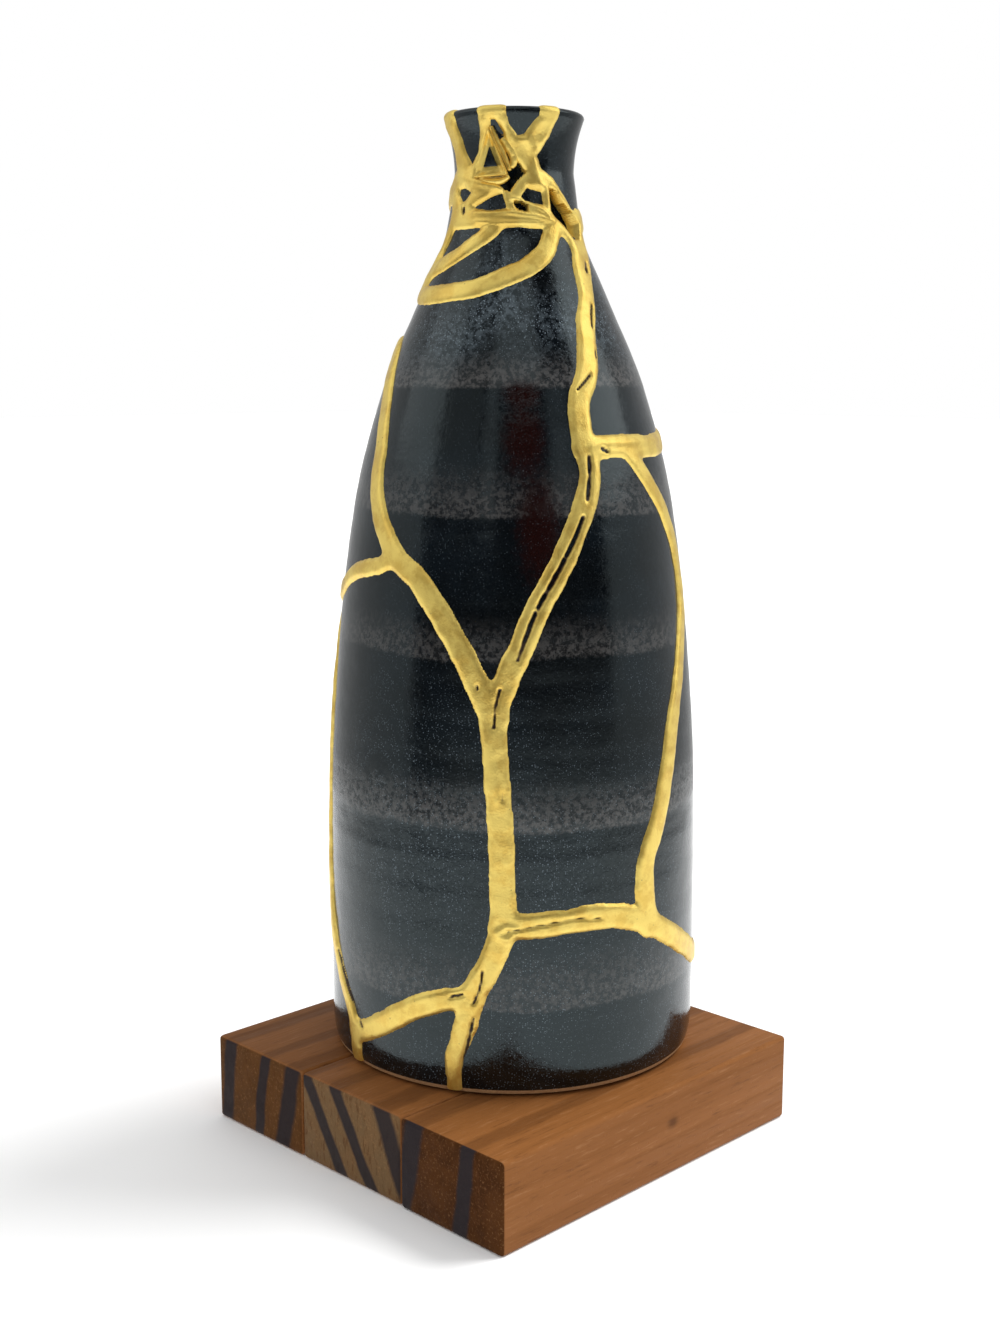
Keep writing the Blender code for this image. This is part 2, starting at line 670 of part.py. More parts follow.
def evaluated(thing):
    depsgraph = bpy.context.evaluated_depsgraph_get()
    return bpy.data.meshes.new_from_object(thing.evaluated_get(depsgraph))


def islands(bm):
    """Groups of faces that hang together."""
    left = set(bm.faces)
    while left:
        group, edge_of_group = set(), [left.pop()]
        while edge_of_group:
            face = edge_of_group.pop()
            group.add(face)
            for edge in face.edges:
                for neighbour in edge.link_faces:
                    if neighbour in left:
                        left.remove(neighbour)
                        edge_of_group.append(neighbour)
        yield group


def split_sherds(mesh, material):
    """One object for each loose part of the cracked vase, named by the place that lies on it."""
    bm = bmesh.new()
    bm.from_mesh(mesh)
    bmesh.ops.triangulate(bm, faces=bm.faces)
    bm.to_mesh(mesh)
    places = [vert.co.copy() for vert in bm.verts]
    parts = []
    for group in islands(bm):
        corners = [[vert.index for vert in face.verts] for face in group]
        volume = sum(places[a].dot(places[b].cross(places[c])) for a, b, c in corners) / 6
        if volume > SMALLEST_SHERD:
            parts.append((BVHTree.FromPolygons(places, corners), {face.index for face in group}))
    bm.free()
    for name, (angle, up) in SHERDS.items():
        z = height(up)
        place = on_vase(math.radians(angle), z, outer_radius(z))
        part = min(parts, key=lambda tree_and_faces: tree_and_faces[0].find_nearest(place)[3])
        parts.remove(part)
        copy = bmesh.new()
        copy.from_mesh(mesh)
        others = [face for face in copy.faces if face.index not in part[1]]
        bmesh.ops.delete(copy, geom=others, context="FACES")
        loose = [vert for vert in copy.verts if not vert.link_faces]
        bmesh.ops.delete(copy, geom=loose, context="VERTS")
        sherd_mesh = bpy.data.meshes.new(name)
        copy.to_mesh(sherd_mesh)
        copy.free()
        sherd = new_object(name, sherd_mesh, material)
        sherd.data.shade_smooth()
        sherd.data.set_sharp_from_angle(angle=math.radians(32))


def set_in_frame():
    """Axes of the tilted set-in sherd: its middle, outward, and its three corners in the plane of its back."""
    corners = [on_vase(math.radians(a), height(up), outer_radius(height(up))) for a, up in SET_IN_CORNERS]
    middle = (corners[0] + corners[1] + corners[2]) / 3
    out = (corners[1] - corners[0]).cross(corners[2] - corners[0]).normalized()
    axis = Vector((VASE_X, VASE_Y, middle.z))
    if out.dot(middle - axis) < 0:
        out = -out
    along = (corners[2] - corners[1]).normalized()
    tilted = []
    for corner in corners:
        below = (corners[0] - corner).dot(along.cross(out))
        tilted.append(corner + out * (abs(below) * math.tan(CHIP_TILT) * 0.5 + SET_IN_STANDS_OUT))
    normal = (tilted[1] - tilted[0]).cross(tilted[2] - tilted[0]).normalized()
    if normal.dot(out) < 0:
        normal = -normal
    return tilted, normal


def triangle_prism(name, corners, normal, inset, low, high, material=None):
    """A three-cornered plate: its corners drawn in by inset, from low to high along its normal."""
    drawn = []
    for i, corner in enumerate(corners):
        before, after = corners[i - 1], corners[(i + 1) % 3]
        to_before, to_after = (before - corner).normalized(), (after - corner).normalized()
        half_angle = to_before.angle(to_after) / 2
        drawn.append(corner + (to_before + to_after).normalized() * inset / math.sin(half_angle))
    bm = bmesh.new()
    face = bm.faces.new([bm.verts.new(corner + normal * low) for corner in drawn])
    raised = bmesh.ops.extrude_face_region(bm, geom=[face])["geom"]
    top = [piece for piece in raised if isinstance(piece, bmesh.types.BMVert)]
    bmesh.ops.translate(bm, verts=top, vec=normal * (high - low))
    return new_object(name, finish_mesh(name, bm), material)


def build_vase(glaze):
    vessel = new_object("vessel", turned("vessel", vase_profile()))
    routes = {name: seam[3] for name, seam in SEAMS.items()} | NECK_CRACKS
    cutters = [crack_cutter(f"crack_{name}", points) for name, points in routes.items()]
    cutters += [radial_prism(f"lost_{name}", outline) for name, outline in LOST.items()]
    foot_angles = [SEAMS[name][3][-1][0] for name in ("far_left", "front_foot")]
    cutters.append(floor_crack("crack_floor", *foot_angles))
    boolean(vessel, "cracks", "DIFFERENCE", as_cutters("cracks", cutters))
    split_sherds(evaluated(vessel), glaze)
    vessel.hide_render = True
    vessel.display_type = "WIRE"


def build_gold(gold, glaze):
    seams = new_object("gold_seams", gold_skin("gold_seams"), gold)
    corners, normal = set_in_frame()
    frame = triangle_prism("gold_set_in_frame", corners, normal, 0.0, 0.0, CHIP_THICKNESS)
    boolean(seams, "frame", "UNION", as_cutters("frame", [frame]))
    pocket = triangle_prism(
        "set_in_pocket", corners, normal, CHIP_FRAME, -POCKET_PAST, CHIP_THICKNESS + POCKET_PAST
    )
    boolean(seams, "pocket", "DIFFERENCE", as_cutters("pocket", [pocket]))
    triangle_prism(
        "sherd_neck_set_in",
        corners,
        normal,
        CHIP_FRAME + CLEARANCE,
        CHIP_SUNK,
        CHIP_THICKNESS - CHIP_SUNK,
        glaze,
    )
    seams.data.shade_smooth()
    seams.data.set_sharp_from_angle(angle=math.radians(40))


def stave(name, y_low, y_high, x_low, x_high, material):
    """One plank of the base, with its edges rounded."""
    bm = bmesh.new()
    bmesh.ops.create_cube(bm, size=1.0)
    bmesh.ops.scale(bm, verts=bm.verts, vec=(x_high - x_low, y_high - y_low, BASE_HEIGHT))
    centre = ((x_low + x_high) / 2, (y_low + y_high) / 2, BASE_HEIGHT / 2)
    bmesh.ops.translate(bm, verts=bm.verts, vec=centre)
    bmesh.ops.bevel(
        bm,
        geom=bm.edges[:],
        offset=EDGE_ROUNDING,
        offset_type="OFFSET",
        segments=2,
        profile=0.5,
        affect="EDGES",
        clamp_overlap=True,
    )
    piece = new_object(name, finish_mesh(name, bm), material)
    piece.data.shade_smooth()
    piece.data.set_sharp_from_angle(angle=math.radians(40))


def build_base(wood):
    """Three staves side by side, from the front corner back. The front one's end stands a little proud."""
    half = BASE_SIDE / 2
    y = -half
    for name, share in zip(("stave_front", "stave_middle", "stave_back"), STAVE_SHARES):
        y_far = y + share * BASE_SIDE / sum(STAVE_SHARES)
        gap = 0.0 if name == "stave_back" else GLUE_LINE
        x_low = -half if name == "stave_front" else -half + PROUD_END
        stave(name, y, y_far - gap, x_low, half, wood)
        y = y_far


def main():
    clear_scene()
    glaze = make_material("glazed_stoneware", GLAZE_COLOUR, 0.18, 0.0)
    gold = make_material("gold_lacquer", GOLD_COLOUR, 0.36, 0.9)
    wood = make_material("oiled_wood", WOOD_COLOUR, 0.55, 0.0)
    build_base(wood)
    build_vase(glaze)
    build_gold(gold, glaze)


main()
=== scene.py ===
# Kintsugi bottle on its base of three staves: the looks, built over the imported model.
import math

import bmesh
import bpy
import numpy as np
from mathutils import Matrix, Vector, noise
from mathutils.bvhtree import BVHTree


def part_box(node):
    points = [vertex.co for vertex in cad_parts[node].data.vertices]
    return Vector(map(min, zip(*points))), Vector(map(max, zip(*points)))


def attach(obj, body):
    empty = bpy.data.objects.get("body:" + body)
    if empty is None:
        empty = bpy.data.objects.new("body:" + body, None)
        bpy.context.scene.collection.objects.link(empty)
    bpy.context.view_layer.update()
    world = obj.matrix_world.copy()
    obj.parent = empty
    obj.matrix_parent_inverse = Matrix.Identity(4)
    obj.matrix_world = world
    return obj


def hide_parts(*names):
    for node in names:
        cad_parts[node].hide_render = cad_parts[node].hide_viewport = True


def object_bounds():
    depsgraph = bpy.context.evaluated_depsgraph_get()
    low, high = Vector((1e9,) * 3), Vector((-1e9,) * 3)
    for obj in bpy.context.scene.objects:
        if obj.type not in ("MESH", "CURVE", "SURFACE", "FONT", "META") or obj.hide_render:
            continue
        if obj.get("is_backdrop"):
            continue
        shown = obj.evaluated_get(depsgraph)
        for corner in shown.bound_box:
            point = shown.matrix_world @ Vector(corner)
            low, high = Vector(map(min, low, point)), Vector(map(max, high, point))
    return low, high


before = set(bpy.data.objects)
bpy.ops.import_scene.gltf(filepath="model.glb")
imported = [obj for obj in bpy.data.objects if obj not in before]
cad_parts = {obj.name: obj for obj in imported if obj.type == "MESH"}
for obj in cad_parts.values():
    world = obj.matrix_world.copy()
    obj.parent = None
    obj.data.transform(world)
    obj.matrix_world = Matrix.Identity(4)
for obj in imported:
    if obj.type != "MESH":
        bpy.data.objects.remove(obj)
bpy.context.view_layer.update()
mm = 0.001

# Camera, as the photograph was taken: the lens in pixels of the 1000 x 1333 frame, lengths in metres
photo = {
    "width": 1000,
    "height": 1333,
    "focalPixels": 1717.73,
    "distance": 0.41197,  # from the vase's axis
    "cameraHeight": 0.1835,  # above what the base stands on
    "pitch": math.radians(9.697),
    "turn": math.radians(-0.436),
    "roll": math.radians(-0.073),
    "sensor": 36.0,
    "search": (0.32, 0.46, 1400),  # where along a ray the vase is looked for, and in how many steps
}

# The vase's own shape in metres; heights are above its foot
vase = {
    "axis": Vector((0.0065, 0.0028, 0.0215)),
    "front": math.radians(-135.5),
    "height": 0.2205,
    "bodyRadius": 0.0446,
    "footRadius": 0.0430,
    "footRounding": 0.0070,
    "footEdge": 0.0006,
    "waistRadius": 0.0138,
    "waistShare": 0.94,
    "rimRadius": 0.0165,
    "lipRounding": 0.0010,
    "bodyWall": 0.0048,
    "neckWall": 0.0032,
    "floor": 0.0065,
    "innerFillet": 0.0080,
    "mouthDepth": 0.0300,  # how far down inside the skin's line goes
    "shoulder": (
        (0.00, 1.000), (0.15, 1.000), (0.30, 0.985), (0.45, 0.912), (0.60, 0.775),
        (0.72, 0.547), (0.82, 0.242), (0.88, 0.065), (0.94, 0.000),
    ),
    "layoutHeight": 221.0,  # the height that the layouts below are measured on
    "ringDepth": 0.00002,  # throwing rings
}


def wrapped(angle):  # at most half a turn either way
    return (angle + math.pi) % (2 * math.pi) - math.pi


def cameraAxes():
    out = Vector((math.cos(vase["front"]), math.sin(vase["front"]), 0))
    ahead, side = -out, Vector((-out.y, out.x, 0))
    turn, pitch, roll = photo["turn"], photo["pitch"], photo["roll"]
    right = side * math.cos(turn) - ahead * math.sin(turn)
    level = side * math.sin(turn) + ahead * math.cos(turn)
    forward = level * math.cos(pitch) - Vector((0, 0, 1)) * math.sin(pitch)
    up = level * math.sin(pitch) + Vector((0, 0, 1)) * math.cos(pitch)
    right, up = (
        right * math.cos(roll) - up * math.sin(roll),
        right * math.sin(roll) + up * math.cos(roll),
    )
    place = Vector((vase["axis"].x, vase["axis"].y, photo["cameraHeight"])) + out * photo["distance"]
    return place, right, up, forward


def makeCamera():
    place, right, up, forward = cameraAxes()
    camera = bpy.data.objects.new("camera", bpy.data.cameras.new("camera"))
    camera.data.sensor_width = photo["sensor"]
    camera.data.lens = photo["focalPixels"] / photo["height"] * photo["sensor"]
    camera.data.clip_start = 0.01
    camera.matrix_world = Matrix.Translation(place) @ Matrix((right, up, -forward)).transposed().to_4x4()
    bpy.context.scene.collection.objects.link(camera)
    bpy.context.scene.camera = camera


def photoRay(across, down):  # where the camera stands, and the way that a pixel of the photograph looks
    place, right, up, forward = cameraAxes()
    x = (across - photo["width"] / 2) / photo["focalPixels"]
    y = (photo["height"] / 2 - down) / photo["focalPixels"]
    return place, forward + right * x + up * y


def throughPoints(curve, share):  # monotone cubic
    steps = [b[0] - a[0] for a, b in zip(curve, curve[1:])]
    slopes = [(b[1] - a[1]) / step for a, b, step in zip(curve, curve[1:], steps)]
    leans = [slopes[0]]
    for before, after in zip(slopes, slopes[1:]):
        leans.append(0.0 if before * after <= 0 else 2 * before * after / (before + after))
    leans.append(slopes[-1])
    i = max(k for k in range(len(steps)) if k == 0 or curve[k][0] <= share)
    t = (share - curve[i][0]) / steps[i]
    low, high = curve[i][1], curve[i + 1][1]
    return (
        low + (high - low) * t * t * (3 - 2 * t)
        + t * (1 - t) ** 2 * steps[i] * leans[i]
        + t * t * (t - 1) * steps[i] * leans[i + 1]
    )


def outerRadius(z):
    share = min(max(z / vase["height"], 0.0), 1.0)
    waist, body = vase["waistRadius"], vase["bodyRadius"]
    if share > vase["waistShare"]:
        flare = (share - vase["waistShare"]) / (1 - vase["waistShare"])
        return waist + (vase["rimRadius"] - waist) * flare**2
    radius = waist + (body - waist) * throughPoints(vase["shoulder"], share)
    if z >= vase["footRounding"]:
        return radius
    up = 1 - max(z, 0.0) / vase["footRounding"]
    return vase["footRadius"] + (radius - vase["footRadius"]) * math.sqrt(1 - up * up)


def wallAt(z):
    share = min(max(z / vase["height"], 0.0), 1.0)
    return vase["bodyWall"] + (vase["neckWall"] - vase["bodyWall"]) * share


def ringAt(z):  # throwing rings, fading out at foot and lip
    fade = min(1.0, max(0.0, (z - 0.006) / 0.012), max(0.0, (vase["height"] - z) / 0.02))
    return vase["ringDepth"] * fade * (math.sin(z * 720 + 0.9 * math.sin(z * 61)) + 0.5 * math.sin(z * 1510))


def skinLine():  # (way, radius, height) from the underside's middle, over the lip and into the mouth
    foot, edge, lip = vase["footRadius"], vase["footEdge"], vase["lipRounding"]
    start = vase["height"] - lip
    line = [(-foot + (foot - edge) * k / 40, (foot - edge) * k / 40, 0.0) for k in range(41)]
    for k in range(1, 6):
        turn = math.pi / 2 * k / 6
        line.append((edge * (k / 3 - 1), foot - edge + edge * math.sin(turn), edge * (1 - math.cos(turn))))
    for k in range(441):
        z = edge + (start - edge) * k / 440
        line.append((z, outerRadius(z) + ringAt(z), z))
    outer = outerRadius(start)
    mouth = outer - vase["neckWall"]
    turns = [math.pi / 2 * k / 6 for k in range(7)]
    over = [(outer - lip + lip * math.cos(a), start + lip * math.sin(a)) for a in turns[1:]]
    over.append((outer - vase["neckWall"] / 2, vase["height"]))
    over += [(mouth + lip - lip * math.sin(a), start + lip * math.cos(a)) for a in turns]
    for k in range(1, 61):
        z = start - vase["mouthDepth"] * k / 60
        over.append((outerRadius(z) - wallAt(z), z))
    middle = None
    for radius, z in over:
        way, lastRadius, lastZ = line[-1]
        line.append((way + math.hypot(radius - lastRadius, z - lastZ), radius, z))
        if abs(radius - (outer - vase["neckWall"] / 2)) < 1e-9:
            middle = line[-1][0]
    return np.array(line), middle


skin, lipWay = skinLine()
outerWall = skin[47:487]
lipStart = vase["height"] - vase["lipRounding"]
skinAcross = np.gradient(skin[:, 2], skin[:, 0])
skinRise = -np.gradient(skin[:, 1], skin[:, 0])
skinAcross, skinRise = (part / np.hypot(skinAcross, skinRise) for part in (skinAcross, skinRise))


def radiusAt(ways):
    return np.interp(ways, skin[:, 0], skin[:, 1])


def heightAt(ways):
    return np.interp(ways, skin[:, 0], skin[:, 2])


def atAxis(angles, radius, z):  # world places
    turn = vase["front"] + angles
    axis = vase["axis"]
    return np.stack([axis.x + radius * np.cos(turn), axis.y + radius * np.sin(turn), axis.z + z], axis=-1)


def onSkin(angles, ways, off):  # world places, off metres outside the vase's skin
    radius = radiusAt(ways) + off * np.interp(ways, skin[:, 0], skinAcross)
    z = heightAt(ways) + off * np.interp(ways, skin[:, 0], skinRise)
    return atAxis(angles, radius, z)


def insideSkin(angles, ways):  # the place of the inner wall that belongs to each place outside
    fillet, floor = vase["innerFillet"], vase["floor"]
    top = floor + fillet
    edge = outerRadius(top) - wallAt(top) - fillet
    low = [(edge + fillet * math.cos(a), top - fillet * math.sin(a)) for a in np.linspace(0, math.pi / 2, 9)]
    low.append((0.0, floor))
    gone = [0.0]
    for a, b in zip(low, low[1:]):
        gone.append(gone[-1] + math.hypot(b[0] - a[0], b[1] - a[1]))
    down = (top - ways) / (top + vase["footRadius"]) * gone[-1]
    outside, heights = radiusAt(ways), heightAt(ways)
    walls = vase["bodyWall"] + (vase["neckWall"] - vase["bodyWall"]) * heights / vase["height"]
    middle = outerRadius(lipStart) - vase["neckWall"] / 2
    radius = np.where(ways > lipStart, 2 * middle - outside, outside - walls)
    radius = np.where(ways < top, np.interp(down, gone, [p[0] for p in low]), radius)
    heights = np.where(ways < top, np.interp(down, gone, [p[1] for p in low]), heights)
    return atAxis(angles, radius, heights)


def fromPhoto(pixels):  # (angle in radians, metres up) on the vase under pixels of the photograph
    found = []
    for across, down in pixels:
        place, ray = photoRay(across, down)
        places = np.array(place) + np.outer(np.linspace(*photo["search"]), np.array(ray))
        out = np.hypot(places[:, 0] - vase["axis"].x, places[:, 1] - vase["axis"].y)
        up = places[:, 2] - vase["axis"].z
        off = out - np.interp(up, outerWall[:, 2], outerWall[:, 1])
        hit = int(np.argmax(off <= 0)) if (off <= 0).any() else int(np.argmin(off))
        x, y = places[hit, 0] - vase["axis"].x, places[hit, 1] - vase["axis"].y
        angle = math.atan2(y, x) - vase["front"]
        found.append((wrapped(angle), float(up[hit])))
    return found


def fromLayout(points):
    scale = vase["height"] / vase["layoutHeight"]
    return [(math.radians(angle), up * scale) for angle, up in points]


def skinSheet(ways, columns):  # a flat grid with an angle and a way up the skin at every vertex
    bm = bmesh.new()
    bmesh.ops.create_grid(bm, x_segments=columns, y_segments=len(ways) - 1, size=1.0)
    angleLayer, wayLayer = bm.verts.layers.float.new("angle"), bm.verts.layers.float.new("way")
    for vert in bm.verts:
        vert[angleLayer] = (vert.co.x + 1) * math.pi
        vert[wayLayer] = ways[round((vert.co.y + 1) / 2 * (len(ways) - 1))]
    return bm


def skinPlaces(verts, bm):  # the angles and ways of a sheet's vertices
    angleLayer, wayLayer = bm.verts.layers.float["angle"], bm.verts.layers.float["way"]
    return np.array([vert[angleLayer] for vert in verts]), np.array([vert[wayLayer] for vert in verts])


def wrapSheet(bm):  # bends a flat sheet round the vase and closes it behind
    angles, ways = skinPlaces(bm.verts, bm)
    for vert, place in zip(bm.verts, onSkin(angles, ways, 0.0)):
        vert.co = place
    meeting = [vert for vert, angle in zip(bm.verts, angles) if not 1e-5 < angle < 2 * math.pi - 1e-5]
    bmesh.ops.remove_doubles(bm, verts=meeting, dist=1e-7)


def alongSegment(x, y, alongX, alongY):  # the share of the way along a segment, and millimetres off it
    share = np.clip((x * alongX + y * alongY) / np.maximum(alongX**2 + alongY**2, 1e-12), 0, 1)
    return share, np.hypot(x - share * alongX, y - share * alongY) / mm


def distanceToRoute(angles, heights, radius, route):
    # Millimetres to a route of (angle, height), and the share of the way along it
    best = np.full(len(angles), 1e3)
    share = np.zeros(len(angles))
    lengths = [0.0]
    for a, b in zip(route, route[1:]):
        lengths.append(lengths[-1] + math.hypot((b[0] - a[0]) * outerRadius((a[1] + b[1]) / 2), b[1] - a[1]))
    for k, (a, b) in enumerate(zip(route, route[1:])):
        x = wrapped(angles - a[0]) * radius
        y = heights - a[1]
        alongX, alongY = (b[0] - a[0]) * radius, b[1] - a[1]
        t, off = alongSegment(x, y, alongX, alongY)
        nearer = off < best
        best = np.where(nearer, off, best)
        share = np.where(nearer, (lengths[k] + t * (lengths[k + 1] - lengths[k])) / lengths[-1], share)
    return best, share


def depthInOutline(angles, heights, radius, outline):  # millimetres inside a closed outline, negative outside
    edge = np.full(len(angles), 1e3)
    inside = np.zeros(len(angles), bool)
    middle = sum(place[0] for place in outline) / len(outline)
    turned = wrapped(angles - middle)
    for a, b in zip(outline, outline[1:] + outline[:1]):
        x, y = (turned - (a[0] - middle)) * radius, heights - a[1]
        alongX, alongY = (b[0] - a[0]) * radius, b[1] - a[1]
        edge = np.minimum(edge, alongSegment(x, y, alongX, alongY)[1])
        crosses = (y > 0) != (y > alongY)
        with np.errstate(divide="ignore", invalid="ignore"):
            crosses &= x < y / alongY * alongX if alongY else False
        inside ^= crosses
    return np.where(inside, edge, -edge)


def smoothRoute(places, step=1.6 * mm):  # a smooth line through places of (angle, height)
    route = [places[0]]
    for i in range(len(places) - 1):
        before, start = places[max(i - 1, 0)], places[i]
        end, after = places[i + 1], places[min(i + 2, len(places) - 1)]
        span = math.hypot((end[0] - start[0]) * outerRadius((start[1] + end[1]) / 2), end[1] - start[1])
        count = max(1, math.ceil(span / step))
        for t in (k / count for k in range(1, count + 1)):
            route.append(tuple(
                0.5 * (
                    2 * start[k]
                    + (end[k] - before[k]) * t
                    + (2 * before[k] - 5 * start[k] + 4 * end[k] - after[k]) * t**2
                    + (3 * start[k] - before[k] - 3 * end[k] + after[k]) * t**3
                )
                for k in (0, 1)
            ))
    return route


def noiseAt(places, scale, seed=0.0):
    shift = Vector((seed, seed * 0.7, seed * 1.3))
    return np.array([noise.noise(Vector(place) * scale + shift) for place in places])


def noiseSum(places, parts):
    return sum(size * noiseAt(places, fine, seed) for size, fine, seed in parts)


def blend(a, b, softness):  # the greater of two, rounded where they meet
    near = np.maximum(softness - np.abs(a - b), 0) / softness
    return np.maximum(a, b) + near**2 * softness / 4


def finishPiece(name, bm, material, slotName, *nodes, sharp=40):
    bmesh.ops.remove_doubles(bm, verts=bm.verts, dist=1e-7)
    bmesh.ops.recalc_face_normals(bm, faces=bm.faces)
    if bm.calc_volume(signed=True) < 0:
        bmesh.ops.reverse_faces(bm, faces=bm.faces)
    mesh = bpy.data.meshes.new(name)
    bm.to_mesh(mesh)
    bm.free()
    piece = bpy.data.objects.new(name, mesh)
    bpy.context.scene.collection.objects.link(piece)
    mesh.materials.append(material)
    mesh.shade_smooth()
    mesh.set_sharp_from_angle(angle=math.radians(sharp))
    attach(piece, "root")
    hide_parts(*nodes)


def openEdges(bm):
    return [edge for edge in bm.edges if len(edge.link_faces) != 2]


def extruded(bm, faces, kind, keep=True):  # the new faces or vertices
    made = bmesh.ops.extrude_face_region(bm, geom=faces, use_keep_orig=keep)["geom"]
    return [item for item in made if isinstance(item, kind)]


def dropLoose(bm):
    bmesh.ops.delete(bm, geom=[vert for vert in bm.verts if not vert.link_faces], context="VERTS")


def roundEdges(bm, offset, segments):
    bmesh.ops.bevel(
        bm, geom=bm.edges[:], offset=offset, offset_type="OFFSET", segments=segments, profile=0.5,
        affect="EDGES", clamp_overlap=True, material=-1,
    )


# Node helpers for the materials

def setInputs(tree, node, values):
    for key, value in values.items():
        if isinstance(value, bpy.types.NodeSocket):
            tree.links.new(value, node.inputs[key])
        else:
            node.inputs[key].default_value = value


def addNode(tree, kind, values=None, **settings):
    node = tree.nodes.new(kind)
    for key, value in settings.items():
        setattr(node, key, value)
    setInputs(tree, node, values or {})
    return node


def mathNode(tree, operation, *values):
    return addNode(tree, "ShaderNodeMath", dict(enumerate(values)), operation=operation).outputs[0]


def times(tree, a, b):
    return mathNode(tree, "MULTIPLY", a, b)


def plus(tree, a, b):
    return mathNode(tree, "ADD", a, b)


def minus(tree, a, b):
    return mathNode(tree, "SUBTRACT", a, b)


def greater(tree, a, b):
    return mathNode(tree, "MAXIMUM", a, b)


def mixColours(tree, factor, a, b):
    return addNode(tree, "ShaderNodeMix", {0: factor, 6: a, 7: b}, data_type="RGBA").outputs[2]


def ramp(tree, value, low, high, toLow=0.0, toHigh=1.0):
    values = {0: value, 1: low, 2: high, 3: toLow, 4: toHigh}
    return addNode(tree, "ShaderNodeMapRange", values, interpolation_type="SMOOTHSTEP", clamp=True).outputs[0]


def noiseNode(tree, vector, scale, detail=2.0, roughness=0.5, distortion=0.0):
    values = {"Vector": vector, "Scale": scale, "Detail": detail}
    values |= {"Roughness": roughness, "Distortion": distortion}
    return addNode(tree, "ShaderNodeTexNoise", values).outputs["Fac"]


def sway(tree, vector, scale, size):  # noise to both sides of nought
    return times(tree, minus(tree, noiseNode(tree, vector, scale), 0.5), size)


def placedVector(tree, vector, location=(0, 0, 0), rotation=(0, 0, 0), scale=(1, 1, 1), kind="TEXTURE"):
    values = {"Vector": vector, "Location": location, "Rotation": rotation, "Scale": scale}
    return addNode(tree, "ShaderNodeMapping", values, vector_type=kind).outputs[0]


def stretchedNoise(tree, vector, scale, *settings):
    return noiseNode(tree, placedVector(tree, vector, scale=scale, kind="POINT"), 1.0, *settings)


def distanceFrom(tree, coords, place, size):  # from a place, in shares of a size in mm
    centred = placedVector(tree, coords, location=place, scale=[part * mm for part in size])
    return addNode(tree, "ShaderNodeVectorMath", {0: centred}, operation="LENGTH").outputs["Value"]


def addBump(tree, shader, strength, distance, relief):
    values = {"Strength": strength, "Distance": distance, "Height": relief}
    tree.links.new(addNode(tree, "ShaderNodeBump", values).outputs[0], shader.inputs["Normal"])


def makeGroup(name, inputs):  # inputs by name with the values they start with; the one output is a mask
    group = bpy.data.node_groups.new(name, "ShaderNodeTree")
    for label, start in inputs.items():
        kind = "NodeSocketVector" if label == "Vector" else "NodeSocketFloat"
        socket = group.interface.new_socket(label, in_out="INPUT", socket_type=kind)
        if start is not None:
            socket.default_value = start
    group.interface.new_socket("Mask", in_out="OUTPUT", socket_type="NodeSocketFloat")
    return group, addNode(group, "NodeGroupInput").outputs, addNode(group, "NodeGroupOutput")


def useGroup(tree, group, values):
    return addNode(tree, "ShaderNodeGroup", values, node_tree=group).outputs["Mask"]


def specksOn(tree, speckles, vector, scale, size, share):
    return useGroup(tree, speckles, {"Vector": vector, "Scale": scale, "Size": size, "Share": share})


def speckleGroup():  # small round specks, each with its own strength
    starts = {"Vector": None, "Scale": 1500.0, "Size": 0.25, "Share": 0.5}
    group, given, out = makeGroup("speckles", starts)
    cells = addNode(group, "ShaderNodeTexVoronoi", {"Vector": given["Vector"], "Scale": given["Scale"]})
    half = times(group, given["Size"], 0.4)
    dot = addNode(group, "ShaderNodeMapRange", {0: cells.outputs["Distance"], 1: given["Size"], 2: half})
    chance = addNode(group, "ShaderNodeSeparateColor", {0: cells.outputs["Color"]}).outputs[0]
    start = minus(group, 1.0, given["Share"])
    kept = addNode(group, "ShaderNodeMapRange", {0: chance, 1: start, 2: 1.0})
    group.links.new(times(group, dot.outputs[0], kept.outputs[0]), out.inputs["Mask"])
    return group


def bandGroup():  # a level band of the glaze: a crisp lower edge that fades out upwards
    starts = {"Height": None, "Low": 0.0, "Fade": 8.0, "Strength": 1.0}
    group, given, out = makeGroup("glazeBand", starts)
    above = minus(group, given["Height"], given["Low"])
    lower = ramp(group, above, -0.5, 0.6)
    share = mathNode(group, "DIVIDE", above, given["Fade"])
    upper = ramp(group, share, 0.05, 1.0, 1.0, 0.0)
    both = times(group, lower, upper)
    group.links.new(times(group, both, given["Strength"]), out.inputs["Mask"])
    return group


def stripeGroup():  # a straight dark stripe through the wood, leaning, with soft edges
    starts = {"Across": None, "Up": None, "Place": 0.0, "Lean": 0.0, "Width": 1.0, "Strength": 1.0}
    group, given, out = makeGroup("woodStripe", starts)
    leaning = times(group, given["Up"], given["Lean"])
    off = minus(group, minus(group, given["Across"], given["Place"]), leaning)
    share = mathNode(group, "DIVIDE", mathNode(group, "ABSOLUTE", off), given["Width"])
    mask = ramp(group, share, 0.35, 0.62, 1.0, 0.0)
    group.links.new(times(group, mask, given["Strength"]), out.inputs["Mask"])
    return group


def newMaterial(name):
    material = bpy.data.materials.new(name)
    material.use_nodes = True
    tree = material.node_tree
    shader = tree.nodes["Principled BSDF"]
    coords = addNode(tree, "ShaderNodeTexCoord").outputs["Object"]
    return material, tree, shader, coords


# Glaze

